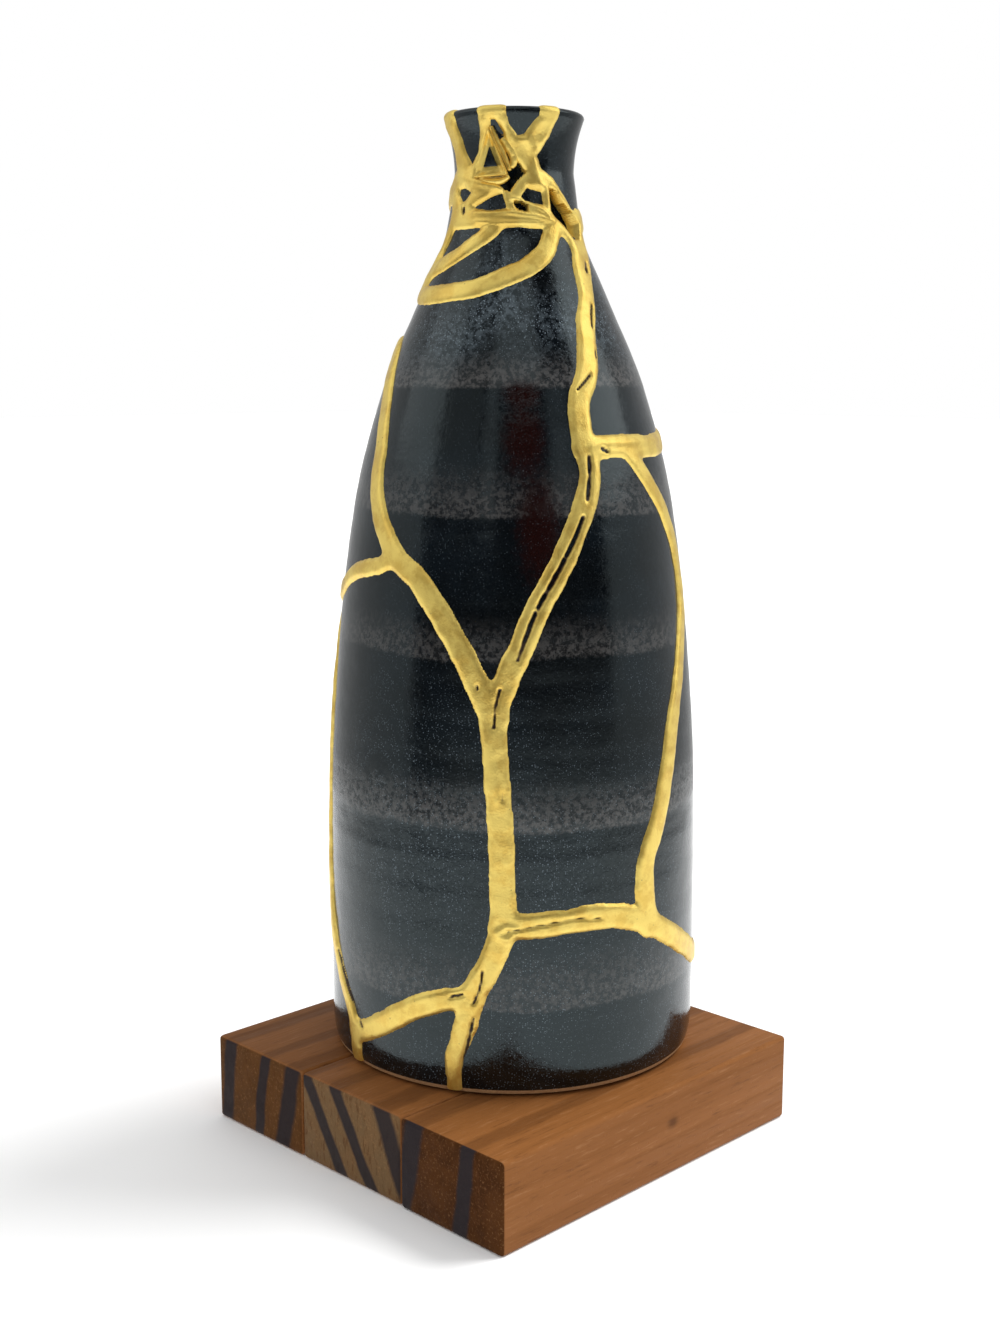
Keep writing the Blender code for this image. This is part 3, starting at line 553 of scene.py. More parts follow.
glaze = {
    "dark": (0.0012, 0.0016, 0.0022, 1),
    "blue": (0.0030, 0.0048, 0.0068, 1),
    "band": (0.100, 0.092, 0.088, 1),
    "speck": (0.19, 0.235, 0.270, 1),
    "shine": (0.80, 0.97, 1.0, 1),
    "iron": (0.0085, 0.0014, 0.0010, 1),
    "clay": (0.42, 0.24, 0.11, 1),
    "darkClay": (0.20, 0.10, 0.045, 1),
    "bands": (  # lower edge and depth in mm, strength
        (20.5, 16.0, 0.75), (62.0, 13.0, 0.95), (100.0, 11.0, 0.55), (131.0, 13.0, 0.6),
        (159.0, 10.0, 0.8),
    ),
    "ironSpots": (((522, 394), 5.0, 4.0), ((524, 440), 5.5, 11.0), ((540, 530), 6.0, 15.0)),
    "clayHeight": 1.45,  # mm of bare clay at the foot
}


def glazeMaterial(speckles, bands):
    material, tree, shader, coords = newMaterial("speckledGlaze")
    local = placedVector(tree, coords, location=vase["axis"])
    up = times(tree, addNode(tree, "ShaderNodeSeparateXYZ", {0: local}).outputs["Z"], 1000.0)
    wander = sway(tree, local, 28, 4.0)
    frayed = sway(tree, local, 900, 1.6)
    level = plus(tree, plus(tree, up, wander), frayed)
    total = 0.0
    for low, fade, strength in glaze["bands"]:
        values = {"Height": level, "Low": low, "Fade": fade, "Strength": strength}
        total = greater(tree, total, useGroup(tree, bands, values))
    clumps = ramp(tree, noiseNode(tree, local, 760, 4, 0.75), 0.42, 0.60)
    clouds = ramp(tree, noiseNode(tree, local, 45, 3, 0.6), 0.35, 0.70)
    bandMask = times(tree, total, mathNode(tree, "MULTIPLY_ADD", clumps, 0.75, 0.15))
    colour = mixColours(tree, clouds, glaze["dark"], glaze["blue"])
    colour = mixColours(tree, times(tree, bandMask, 0.8), colour, glaze["band"])
    for pixel, wide, tall in glaze["ironSpots"]:
        angle, z = fromPhoto([pixel])[0]
        place = onSkin(np.array([angle]), np.array([z]), 0.0)[0]
        off = distanceFrom(tree, coords, place, (wide, wide, tall))
        ragged = plus(tree, off, times(tree, frayed, 0.45))
        colour = mixColours(tree, ramp(tree, ragged, 0.35, 1.15, 0.92, 0.0), colour, glaze["iron"])
    fine = specksOn(tree, speckles, local, 2300.0, 0.36, 0.62)
    coarse = specksOn(tree, speckles, local, 1250.0, 0.24, 0.35)
    frosted = times(tree, ramp(tree, level, 158, 174), ramp(tree, level, 196, 206, 1.0, 0.2))
    misty = greater(tree, ramp(tree, level, 58, 112, 0.58, 0.13), times(tree, frosted, 0.85))
    thick = times(tree, misty, mathNode(tree, "MULTIPLY_ADD", clouds, 0.9, 0.45))
    specks = times(tree, greater(tree, fine, coarse), thick)
    colour = mixColours(tree, specks, colour, glaze["speck"])
    haze = times(tree, frosted, times(tree, clouds, clumps))
    colour = mixColours(tree, times(tree, haze, 0.24), colour, glaze["speck"])
    edge = plus(tree, up, times(tree, wander, 0.12))
    bare = ramp(tree, edge, glaze["clayHeight"] - 0.15, glaze["clayHeight"] + 0.15, 1.0, 0.0)
    grit = noiseNode(tree, local, 1400, 3)
    clay = mixColours(tree, grit, glaze["clay"], glaze["darkClay"])
    rough = mathNode(tree, "MULTIPLY_ADD", bandMask, 0.22, 0.07)
    rough = mathNode(tree, "MULTIPLY_ADD", bare, 0.6, rough)
    colour = mixColours(tree, bare, colour, clay)
    setInputs(tree, shader, {"Base Color": colour, "Roughness": rough, "Specular Tint": glaze["shine"]})
    waves = plus(tree, noiseNode(tree, local, 70, 2), times(tree, clumps, 0.05))
    relief = mathNode(tree, "MULTIPLY_ADD", times(tree, grit, bare), 0.1, waves)
    addBump(tree, shader, 0.35, 0.0006, relief)
    return material


# Gold

gold = {
    "bright": (0.92, 0.70, 0.18, 1),
    "deep": (0.76, 0.52, 0.11, 1),
    # painted shade: dark brown laid on the gold in and beside the open slits; the same colour also darkens
    # the small pits
    "slitShade": (0.030, 0.014, 0.006, 1),
    "thickness": 1.10,  # mm
    "shoulder": 1.7,  # mm from the edge in to full thickness
    "edgeStart": 0.12,
    "below": 0.5,  # mm under the glaze, where the sheet ends
    "margin": 0.75,
    "spread": 0.12,
    "holeEdge": 0.15,
    "lining": 2.6,  # mm that the gold goes down into a hole
    "collarBottom": 194.6,
    "reach": 3.0,  # mm outside the outline where the noise starts
    "outlineNoise": ((0.30, 230, 0.0), (0.12, 900, 4.0)),  # mm, how fine, seed
    "surfaceNoise": ((0.16, 130, 9.0), (0.05, 480, 2.0)),
    "reliefFade": 1.2,  # mm in from the edge
    "lipFade": 0.002,
    "split": 0.1745,  # the way up the skin where the gold of the neck takes over
    "bottom": 1.15 * mm,
    "steps": (0.46 * mm, 0.33 * mm, 0.3 * mm),  # of the rows on body, neck and lip
    "columns": (620, 380),
    "overLip": 0.0042,
}

# Seams in degrees round from the front and mm up the layout, with their widths in mm at both ends
seamRoutes = {
    "spine": (5.2, 5.8, (
        (58, 189), (52, 184.5), (48, 179), (40, 172.5), (36.5, 166.5), (33, 161.5),
        (28, 157), (26.5, 152), (27, 146), (28, 140.5), (25.5, 135), (20, 127), (13, 118),
        (7, 110.5), (3.5, 104.5), (-1.5, 96.5), (-5.5, 87.5), (-4.7, 76), (-3.3, 62), (-3, 50),
        (-2.5, 40.5), (-4.5, 35), (-8, 29), (-12.5, 23),
    )),
    "leftSeam": (5.2, 5.4, (
        (-185, 141), (-165, 150), (-140, 158), (-118, 166), (-98, 168.5), (-82, 167), (-72, 161),
        (-65, 153), (-60, 145), (-57.5, 137), (-51, 129), (-41.5, 121.5), (-32.5, 117.5),
        (-26, 112.5), (-20, 106.5), (-14, 99.5), (-9, 92.5), (-5.5, 87.5),
    )),
    "leftBranch": (3.8, 4.2, (
        (-41.5, 121.5), (-50, 119.3), (-60, 118), (-71, 115.5), (-82, 112), (-100, 108),
        (-125, 106), (-152, 109), (-187, 113),
    )),
    "rightBranch": (5.0, 4.6, (
        (27, 146), (46, 146.3), (63, 146), (80, 146.5), (102, 148), (125, 152), (144, 157), (162, 160),
    )),
    "rightSeam": (4.2, 6.2, (
        (46, 146.3), (52, 141.5), (60, 135.5), (68, 128), (73, 119.5), (73.5, 111), (70, 102.5),
        (65, 93.5), (59, 84), (54, 73), (49, 61), (43.5, 52.5), (43, 44.5), (45, 37.3),
    )),
    "lowRight": (5.8, 5.2, (
        (-2.5, 40.5), (10, 40.7), (21, 41.5), (33, 40.8), (45, 37.3), (56, 32.5), (67, 27.5),
        (80, 22.5), (97, 20.5), (118, 24), (142, 33), (165, 42),
    )),
    "lowLeft": (5.4, 5.2, (
        (-12.5, 23), (-20, 22.3), (-30, 19), (-41, 13.8), (-49, 10.3), (-56, 8.5),
    )),
    "farLeft": (5.4, 4.2, (
        (-100, 108), (-93, 98), (-88, 85), (-86.5, 68), (-85, 53), (-81, 41), (-75, 30.5),
        (-67, 21.5), (-60, 14.5), (-56, 8.5), (-56, 3), (-56, 1.2),
    )),
    "frontFoot": (6.0, 3.4, (
        (-12.5, 23), (-13.3, 17.5), (-15.5, 12.5), (-17, 8.5), (-17.3, 3), (-17.3, 1.2),
    )),
    "collarLow": (4.2, 4.2, (
        (33.5, 194.5), (28, 191), (20, 188.3), (10, 186), (0, 184.3), (-12, 182.6),
        (-25, 181), (-42, 180.3), (-60, 180), (-76, 180.3), (-92, 181.5), (-118, 184),
        (-148, 187), (-185, 189),
    )),
    "collarMiddle": (3.8, 3.6, (
        (-12, 196), (-22, 193.3), (-34, 191), (-46, 188.8), (-60, 186.8), (-76, 184.6), (-92, 181.5),
    )),
    "collarLeft": (3.2, 3.0, ((-63, 203), (-62, 198), (-67, 193.5), (-73, 189), (-76, 184.6))),
    "backSpine": (4.6, 5.0, (
        (175, 194.5), (175, 189), (168, 178), (162, 168), (162, 160), (168, 151), (175, 141),
        (178, 128), (173, 113), (165, 98), (161, 84), (166, 68), (170, 54), (165, 42),
    )),
    "backLink": (4.2, 4.2, ((-118, 184), (-124, 175), (-118, 166))),
    "backLow": (4.6, 4.8, ((165, 42), (186, 36), (215, 29), (242, 27), (263, 33), (279, 41))),
    "slotEdge": (3.6, 4.8, ((71, 198), (69.5, 193.5), (63, 188.8), (52, 184.5))),
    "slotLip": (2.4, 2.4, ((34.5, 195.8), (43, 194.8), (51, 192.2), (58, 189))),
    "looseStrip": (1.7, 1.5, ((-20, 216), (-14, 212.8), (-8, 209.5), (-4, 206.5))),
}

# Windows in the gold round the neck, in the same measure; those that reach 232 run on over the lip
windows = {
    "rimLeft": ((-63, 232), (-56, 217), (-49, 211.5), (-43, 209), (-36, 211.5), (-32, 216), (-33.5, 232)),
    "rimFront": (
        (-7, 232), (-6, 219.5), (-3, 216.8), (3, 215), (8, 215.3), (14, 217), (19.5, 219), (21, 232),
    ),
    "rimRight": (
        (44, 232), (40, 219.5), (33, 214.5), (22, 210.5), (27, 207.8), (38, 206), (50, 202.8),
        (60, 199.8), (72, 199), (78, 199.3), (78, 232),
    ),
    "rimFarRight": ((75, 232), (75, 199.2), (90, 199.8), (108, 202), (112, 212), (118, 232)),
    "backRight": ((138, 232), (132, 214), (136, 204), (160, 201), (187, 200.2), (187, 232)),
    "backLeft": ((184, 232), (184, 200.2), (213, 202), (227, 206), (223, 214), (231, 232)),
    "farLeft": (
        (248, 232), (243, 214), (247, 206), (265, 205), (282, 206.2), (291, 208.5), (288, 212.5),
        (278, 217.5), (268, 232),
    ),
    "belowLeft": ((246, 192), (292, 192), (290, 197), (289, 200), (275, 200.4), (255, 198.4)),
}

# More of them, by pixels of the photograph
smallWindows = (
    ((491, 120), (495, 120), (503, 133), (501, 142), (496, 137), (491, 127)),
    ((461, 189), (466, 188), (471, 193), (466, 200), (463, 202), (460, 195)),
    ((475, 208), (490, 199), (502, 194), (506, 208), (490, 209)),
    ((521, 197), (526, 188), (541, 192), (543, 205), (532, 203), (525, 200)),
)

# Where sherds are lost, by pixels
lostPlaces = {
    "slot": (
        (548, 188), (555, 191), (562, 203), (570, 212), (577, 224), (578, 240), (571, 236),
        (563, 226), (554, 217), (550, 211), (549, 200),
    ),
    "setInHole": (
        (489, 132), (484, 150), (478, 169), (477, 178), (486, 181), (497, 183), (504, 190),
        (510, 192), (515, 183), (526, 172), (516, 160), (509, 147), (503, 136), (495, 131),
    ),
    "pinhole": ((514, 202), (520, 201), (529, 206), (528, 212), (520, 210), (515, 207)),
}

# Cracks left open in the gold, by pixels of the photograph, with width and depth in mm
openSlits = (
    (((590, 306), (590, 317), (591, 328)), 0.30, 0.9),
    (((584, 264), (585, 272)), 0.50, 0.9),
    (((594, 352), (595, 358)), 0.28, 0.7),
    (((589, 376), (584, 382), (577, 390)), 0.28, 0.9),
    (((601, 449), (606, 452)), 0.35, 0.9),
    (((588, 457), (589, 472), (587, 500)), 0.42, 1.2),
    (((582, 518), (576, 535), (566, 556)), 0.44, 1.2),
    (((564, 560), (550, 586), (538, 608)), 0.48, 1.3),
    (((535, 613), (528, 632), (518, 660)), 0.46, 1.2),
    (((477, 686), (478, 689)), 0.30, 0.8),
    (((500, 690), (496, 706), (494, 728)), 0.34, 0.8),
    (((503, 793), (503, 801)), 0.25, 0.7),
    (((340, 950), (346, 975), (355, 1003), (364, 1026)), 0.40, 0.8),
    (((452, 996), (463, 994)), 0.28, 0.8),
    (((474, 1003), (480, 988), (483, 971)), 0.28, 0.7),
    (((474, 1018), (470, 1036), (465, 1058), (463, 1074)), 0.34, 0.8),
    (((508, 931), (540, 925), (573, 919), (600, 918)), 0.22, 0.5),
    (((465, 209), (465, 213)), 0.40, 0.9),
)

# Raised folds of the gold, by pixels, with width and height in mm
goldFolds = (
    (((476, 214), (505, 213), (530, 216), (552, 222)), 0.55, 0.35),
    (((478, 222), (506, 224), (535, 224)), 0.5, 0.30),
    (((498, 932), (508, 926), (516, 932), (508, 939), (500, 936)), 0.7, 0.35),
    (((590, 448), (600, 444), (625, 443), (655, 440)), 0.6, 0.25),
    (((520, 132), (532, 150), (534, 172), (541, 190)), 1.0, 0.35),
    (((560, 112), (552, 130), (540, 142)), 1.2, 0.30),
    (((462, 176), (475, 182), (492, 186), (506, 190)), 1.0, 0.40),
    (((512, 199), (525, 202), (540, 210), (548, 218)), 0.5, 0.40),
    (((489, 690), (488, 720), (490, 760), (497, 800)), 0.9, 0.22),
)


def goldDepth(angles, ways, heights, radius):
    # Millimetres inside the gold's outline at places of the skin, negative outside it
    depth = np.full(len(angles), -50.0)
    for start, end, points in seamRoutes.values():
        route = smoothRoute(fromLayout(points))
        low, high = min(p[1] for p in route) - 0.012, max(p[1] for p in route) + 0.012
        middle = (min(p[0] for p in route) + max(p[0] for p in route)) / 2
        spread = (max(p[0] for p in route) - min(p[0] for p in route)) / 2 + 0.012 / 0.0135
        turned = np.abs(wrapped(angles - middle))
        near = np.nonzero((heights > low) & (heights < high) & (turned < spread) & (ways < lipStart))[0]
        off, share = distanceToRoute(angles[near], heights[near], radius[near], route)
        depth[near] = blend(depth[near], (start + (end - start) * share) / 2 - off, 1.6)
    scale = vase["height"] / vase["layoutHeight"]
    collar = (ways - gold["collarBottom"] * scale) / mm
    upper = np.nonzero(ways > (gold["collarBottom"] - 8) * scale)[0]
    seamsOnly = depth[upper].copy()
    a, h, r = angles[upper], ways[upper], radius[upper]
    band = collar[upper]
    for outline in [fromLayout(places) for places in windows.values()]:
        band = -blend(-band, depthInOutline(a, h, r, outline) + 0.30, 0.6)
    depth[upper] = blend(seamsOnly, band, 0.6)
    for outline in [fromPhoto(pixels) for pixels in smallWindows]:
        depth[upper] = -blend(-depth[upper], depthInOutline(a, h, r, outline) + 0.15, 0.5)
    for outline in [fromPhoto(pixels) for pixels in lostPlaces.values()]:
        depth[upper] = np.minimum(depth[upper], 0.9 - depthInOutline(a, h, r, outline))
    return depth


def holeDepth(angles, ways, radius):  # millimetres inside the nearest place where a sherd is lost
    depth = np.full(len(angles), -50.0)
    upper = np.nonzero(ways > 0.180)[0]
    for outline in lostPlaces.values():
        found = depthInOutline(angles[upper], ways[upper], radius[upper], fromPhoto(outline))
        depth[upper] = np.maximum(depth[upper], found)
    return depth


def reliefAlong(angles, heights, radius, lines):  # height of ridges, or depth of slits, at places of the skin
    total = np.zeros(len(angles))
    for pixels, width, size in lines:
        route = smoothRoute(fromPhoto(pixels), 0.8 * mm)
        middle = sum(place[0] for place in route) / len(route)
        low, high = min(p[1] for p in route) - 0.004, max(p[1] for p in route) + 0.004
        turned = np.abs(wrapped(angles - middle))
        near = np.nonzero((heights > low) & (heights < high) & (turned < 0.8))[0]
        off, _ = distanceToRoute(angles[near], heights[near], radius[near], route)
        total[near] = np.maximum(total[near], size * np.exp(-((off / width) ** 2)))
    return total


def dropPinches(bm):  # two faces that meet only at a corner would leave the solid open there
    while True:
        pinched = [v for v in bm.verts if sum(1 for e in v.link_edges if len(e.link_faces) == 1) > 2]
        if not pinched:
            break
        bmesh.ops.delete(bm, geom=pinched, context="VERTS")


def goldPiece(name, material, ways, columns):
    bm = skinSheet(ways, columns)
    angles, ways = skinPlaces(bm.verts, bm)
    heights, radius = heightAt(ways), radiusAt(ways)
    depth = goldDepth(angles, ways, heights, radius) + gold["spread"]
    near = np.nonzero(depth > -gold["reach"])[0]
    places = onSkin(angles[near], ways[near], 0.0)
    depth[near] += noiseSum(places, gold["outlineNoise"])
    hole = holeDepth(angles, ways, radius)
    edge = 1 - np.clip((depth + gold["edgeStart"]) / gold["shoulder"], 0, 1)
    start = gold["thickness"] * math.sqrt(1 - (1 - gold["edgeStart"] / gold["shoulder"]) ** 2)
    rise = gold["thickness"] * np.sqrt(1 - edge**2) - start
    inside = np.clip(depth / gold["reliefFade"], 0, 1)
    rise[near] += inside[near] * noiseSum(places, gold["surfaceNoise"])
    front = ways < lipStart
    slit = np.where(front, reliefAlong(angles, heights, radius, openSlits), 0.0)
    slit[near] *= np.clip(0.95 + 0.8 * noiseAt(places, 520, 6.0), 0.4, 1.15)
    rise += np.where(front, reliefAlong(angles, heights, radius, goldFolds), 0.0) * inside
    rise -= slit * inside
    rise -= 0.5 * np.clip((hole + 0.9) / 1.1, 0, 1) ** 2  # thinner beside a lost place
    rise *= 1 - 0.5 * np.clip((ways - lipStart + gold["lipFade"]) / gold["lipFade"], 0, 1)
    rise = np.maximum(rise, -gold["below"])
    lining = np.where(hole > -0.6, gold["lining"], gold["below"] + 0.3)
    riseLayer, liningLayer = bm.verts.layers.float.new("rise"), bm.verts.layers.float.new("lining")
    # a mask of painted shade beside the open slits: the slit depth, spread wider
    slitShadeLayer = bm.verts.layers.float.new("slitShade")
    for vert, up, down, dark in zip(bm.verts, rise, lining, slit):
        vert[riseLayer], vert[liningLayer], vert[slitShadeLayer] = up, down, min(1.0, dark * 1.6)
    lost = (depth < -gold["margin"]) | (hole > gold["holeEdge"])
    bmesh.ops.delete(bm, geom=[vert for vert, gone in zip(bm.verts, lost) if gone], context="VERTS")
    wrapSheet(bm)
    dropPinches(bm)
    dropLoose(bm)
    under = extruded(bm, bm.faces[:], bmesh.types.BMVert)
    riseLayer, liningLayer = bm.verts.layers.float["rise"], bm.verts.layers.float["lining"]
    for verts, layer, way in ((bm.verts[:], riseLayer, mm), (under, liningLayer, -mm)):
        off = np.array([vert[layer] for vert in verts]) * way
        for vert, place in zip(verts, onSkin(*skinPlaces(verts, bm), off)):
            vert.co = place
    print(name, len(bm.faces), "faces,", len(openEdges(bm)), "open edges")
    finishPiece(name, bm, material, "gold", "gold_seams", sharp=70)


def goldMaterial(speckles):
    material, tree, shader, coords = newMaterial("goldLeaf")
    slitShade = addNode(tree, "ShaderNodeAttribute", attribute_name="slitShade").outputs["Fac"]
    patches = noiseNode(tree, coords, 190, 3, 0.6)
    streaks = noiseNode(tree, coords, 900, 3, 0.65, 1.0)
    tone = plus(tree, times(tree, patches, 0.75), times(tree, streaks, 0.25))
    colour = mixColours(tree, ramp(tree, tone, 0.38, 0.60), gold["deep"], gold["bright"])
    pits = specksOn(tree, speckles, coords, 700.0, 0.16, 0.16)
    # painted shade along the open slits, together with the small dark pits
    dark = greater(tree, ramp(tree, slitShade, 0.12, 0.80), times(tree, pits, 0.7))
    setInputs(tree, shader, {
        "Base Color": mixColours(tree, dark, colour, gold["slitShade"]),
        "Metallic": mathNode(tree, "MULTIPLY_ADD", dark, -0.6, 0.80),
        "Roughness": ramp(tree, patches, 0.3, 0.7, 0.30, 0.44),
    })
    relief = plus(tree, streaks, times(tree, pits, -1.0))
    relief = plus(tree, relief, noiseNode(tree, coords, 2600, 2))
    addBump(tree, shader, 0.18, 0.0003, relief)
    return material


def stepsBetween(low, high, step):
    count = max(1, round((high - low) / step))
    return [low + (high - low) * k / count for k in range(count + 1)]


def makeGold(material):
    bodyStep, neckStep, lipStep = gold["steps"]
    bodyColumns, neckColumns = gold["columns"]
    goldPiece("gold_on_body", material, stepsBetween(gold["bottom"], gold["split"], bodyStep), bodyColumns)
    upper = stepsBetween(gold["split"], lipStart, neckStep)
    upper += stepsBetween(lipStart, lipWay + gold["overLip"], lipStep)[1:]
    goldPiece("gold_on_neck", material, upper, neckColumns)


# Sherds

sherds = {
    "columns": 240,
    "underRows": (-0.038, -0.032, -0.026, -0.020, -0.014, -0.009, -0.005, -0.0025),
    "rowStep": 1.0 * mm,
    "lipStep": 0.45 * mm,
    "holeGap": 0.35,  # mm that sherds end short of a lost place
    "smoothings": 4,  # of the cracks' zigzag
    "stillRows": (14, 4),  # at the foot and at the lip
}


def nearestSherds():
    verts, faces, owners = [], [], []
    names = sorted(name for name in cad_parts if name.startswith("sherd_"))
    names.remove("sherd_neck_set_in")
    for index, name in enumerate(names):
        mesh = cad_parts[name].data
        start = len(verts)
        verts += [vert.co.copy() for vert in mesh.vertices]
        for polygon in mesh.polygons:
            faces.append([start + k for k in polygon.vertices])
            owners.append(index)
    return names, BVHTree.FromPolygons(verts, faces), owners


def tidyLabels(labels):  # no two faces of a sherd may meet only at a corner
    rows, columns = labels.shape
    for _ in range(30):
        changed = False
        for i in range(rows - 1):
            for j in range(columns):
                k = (j + 1) % columns
                a, b, c, d = labels[i, j], labels[i, k], labels[i + 1, j], labels[i + 1, k]
                if a == d and a != b and a != c:
                    labels[i, k] = a
                    changed = True
                elif b == c and b != a and b != d:
                    labels[i, j] = b
                    changed = True
        if not changed:
            return


def labelFaces(ways):  # the sherd of each face of the sheet, -1 where it is lost
    columns = sherds["columns"]
    names, tree, owners = nearestSherds()
    labels = np.full((len(ways) - 1, columns), -1)
    middles = (np.arange(columns) + 0.5) * (2 * math.pi / columns)
    rows = np.array([(a + b) / 2 for a, b in zip(ways, ways[1:])])
    for i, way in enumerate(rows):
        for j, place in enumerate(onSkin(middles, np.full(columns, way), 0.0)):
            labels[i, j] = owners[tree.find_nearest(Vector(place))[2]]
    allWays = np.repeat(rows, columns)
    hole = holeDepth(np.tile(middles, len(rows)), allWays, radiusAt(allWays)).reshape(labels.shape)
    labels[hole > -sherds["holeGap"]] = -1
    tidyLabels(labels)
    return names, labels


def smoothCracks(labels, ways):  # the angle and the way of every vertex, with the cracks' zigzag evened out
    columns = sherds["columns"]
    shape = (len(ways), columns)
    angleGrid = np.tile(np.arange(columns) * (2 * math.pi / columns), (len(ways), 1))
    wayGrid = np.repeat(np.array(ways)[:, None], columns, axis=1)
    low, high = sherds["stillRows"]
    for _ in range(sherds["smoothings"]):
        upEdge = np.zeros(shape, bool)  # the edge from (i, j) to (i + 1, j) parts two sherds
        upEdge[:-1] = labels != np.roll(labels, 1, axis=1)
        fromBelow = np.roll(upEdge, 1, axis=0)
        fromBelow[0] = False
        sideEdge = np.zeros(shape, bool)  # the edge from (i, j) to (i, j + 1)
        sideEdge[1:-1] = labels[1:] != labels[:-1]
        count, angleSum, waySum = np.zeros(shape, int), np.zeros(shape), np.zeros(shape)
        for mask, step, axis in (
            (upEdge, -1, 0), (fromBelow, 1, 0), (sideEdge, -1, 1), (np.roll(sideEdge, 1, axis=1), 1, 1),
        ):
            angleSum[mask] += wrapped(np.roll(angleGrid, step, axis=axis) - angleGrid)[mask]
            waySum[mask] += (np.roll(wayGrid, step, axis=axis) - wayGrid)[mask]
            count += mask
        moved = count == 2
        moved[:low] = moved[-high:] = False
        angleGrid[moved] += 0.5 * angleSum[moved] / 2
        wayGrid[moved] += 0.5 * waySum[moved] / 2
    return angleGrid, wayGrid


def makeSherds(material):
    edge, columns = vase["footEdge"], sherds["columns"]
    ways = [-vase["footRadius"], *sherds["underRows"], -edge, -edge / 3, edge / 3]
    ways += stepsBetween(edge, lipStart, sherds["rowStep"])
    ways += stepsBetween(lipStart, lipWay, sherds["lipStep"])[1:]
    names, labels = labelFaces(ways)
    angleGrid, wayGrid = smoothCracks(labels, ways)
    bm = skinSheet(ways, columns)
    angleLayer, wayLayer = bm.verts.layers.float["angle"], bm.verts.layers.float["way"]
    labelLayer = bm.faces.layers.int.new("sherd")
    for face in bm.faces:
        middle = face.calc_center_median()
        row = int((middle.y + 1) / 2 * (len(ways) - 1))
        column = int((middle.x + 1) / 2 * columns)
        face[labelLayer] = int(labels[row, column])
    for vert in bm.verts:
        row = round((vert.co.y + 1) / 2 * (len(ways) - 1))
        column = round((vert.co.x + 1) / 2 * columns)
        vert[angleLayer] = angleGrid[row, column % columns] + (2 * math.pi if column == columns else 0)
        vert[wayLayer] = wayGrid[row, column % columns]
    ends = [vert for vert in bm.verts if abs(vert.co.x) > 0.99999 or vert.co.y < -0.99999]
    for vert, place in zip(bm.verts, onSkin(*skinPlaces(bm.verts, bm), 0.0)):
        vert.co = place
    bmesh.ops.remove_doubles(bm, verts=ends, dist=1e-7)
    for label, node in enumerate(names):
        piece = bm.copy()
        labelLayer = piece.faces.layers.int["sherd"]
        others = [face for face in piece.faces if face[labelLayer] != label]
        bmesh.ops.delete(piece, geom=others, context="FACES")
        dropLoose(piece)
        inner = extruded(piece, piece.faces[:], bmesh.types.BMVert)
        for vert, place in zip(inner, insideSkin(*skinPlaces(inner, piece))):
            vert.co = place
        bmesh.ops.remove_doubles(piece, verts=piece.verts, dist=1e-6)
        print(node, len(piece.faces), "faces,", len(openEdges(piece)), "open edges")
        finishPiece("vase_" + node[len("sherd_"):], piece, material, "glazed_stoneware", node)
    bm.free()


# The triangular sherd that was set back in at a tilt, in its gold frame

setIn = {
    "corners": ((491, 128), (479, 178), (512, 175)),  # pixels
    "standsOut": 0.0006,
    "thickness": 0.0022,
    "frame": 0.0019,
    "tilt": math.radians(14),
    "dip": 0.0012,  # of the frame's middle
    "rounding": 0.00045,
    "roughness": 0.00018,
    "plateShare": 0.42,  # of the frame's size
    "plateLift": 0.0007,
    "plateThickness": 0.0009,
    "plateRounding": 0.0002,
}


def setInPlane():
    corners = [Vector(onSkin(np.array([a]), np.array([z]), 0.0)[0]) for a, z in fromPhoto(setIn["corners"])]
    out = (corners[1] - corners[0]).cross(corners[2] - corners[0]).normalized()
    middle = sum(corners, Vector()) / 3
    if out.dot(middle - Vector((vase["axis"].x, vase["axis"].y, middle.z))) < 0:
        out = -out
    along = (corners[2] - corners[1]).normalized()
    tilted = []
    for corner in corners:
        below = abs((corners[0] - corner).dot(along.cross(out)))
        tilted.append(corner + out * (below * math.tan(setIn["tilt"]) * 0.5 + setIn["standsOut"]))
    normal = (tilted[1] - tilted[0]).cross(tilted[2] - tilted[0]).normalized()
    return tilted, normal if normal.dot(out) > 0 else -normal


def makeSetIn(goldLook, glazeLook):
    corners, normal = setInPlane()
    bm = bmesh.new()
    face = bm.faces.new([bm.verts.new(corner) for corner in corners])
    face.normal_update()
    if face.normal.dot(normal) < 0:
        face.normal_flip()
    top = extruded(bm, [face], bmesh.types.BMFace)[0]
    bmesh.ops.translate(bm, verts=top.verts[:], vec=normal * setIn["thickness"])
    bmesh.ops.recalc_face_normals(bm, faces=bm.faces)
    bmesh.ops.inset_individual(bm, faces=[top], thickness=setIn["frame"], depth=0.0)
    bmesh.ops.translate(bm, verts=top.verts[:], vec=normal * -setIn["dip"])
    roundEdges(bm, setIn["rounding"], 3)
    bmesh.ops.subdivide_edges(bm, edges=bm.edges[:], cuts=2, use_grid_fill=True)
    for vert in bm.verts:
        vert.co += normal * setIn["roughness"] * noise.noise(vert.co * 700)
    bmesh.ops.smooth_vert(bm, verts=bm.verts, factor=0.4, use_axis_x=True, use_axis_y=True, use_axis_z=True)
    finishPiece("gold_set_in_frame", bm, goldLook, "gold", "gold_seams")
    middle = sum(corners, Vector()) / 3
    bm = bmesh.new()
    share = setIn["plateShare"]
    plate = bm.faces.new([bm.verts.new(middle + (corner - middle) * share) for corner in corners])
    raised = extruded(bm, [plate], bmesh.types.BMVert)
    bmesh.ops.translate(bm, verts=bm.verts[:], vec=normal * setIn["plateLift"])
    bmesh.ops.translate(bm, verts=raised, vec=normal * setIn["plateThickness"])
    roundEdges(bm, setIn["plateRounding"], 2)
    finishPiece("vase_neck_set_in", bm, glazeLook, "glazed_stoneware", "sherd_neck_set_in")


# Straps of gold beside it and below it, by pixels, with half their width and half their thickness in mm

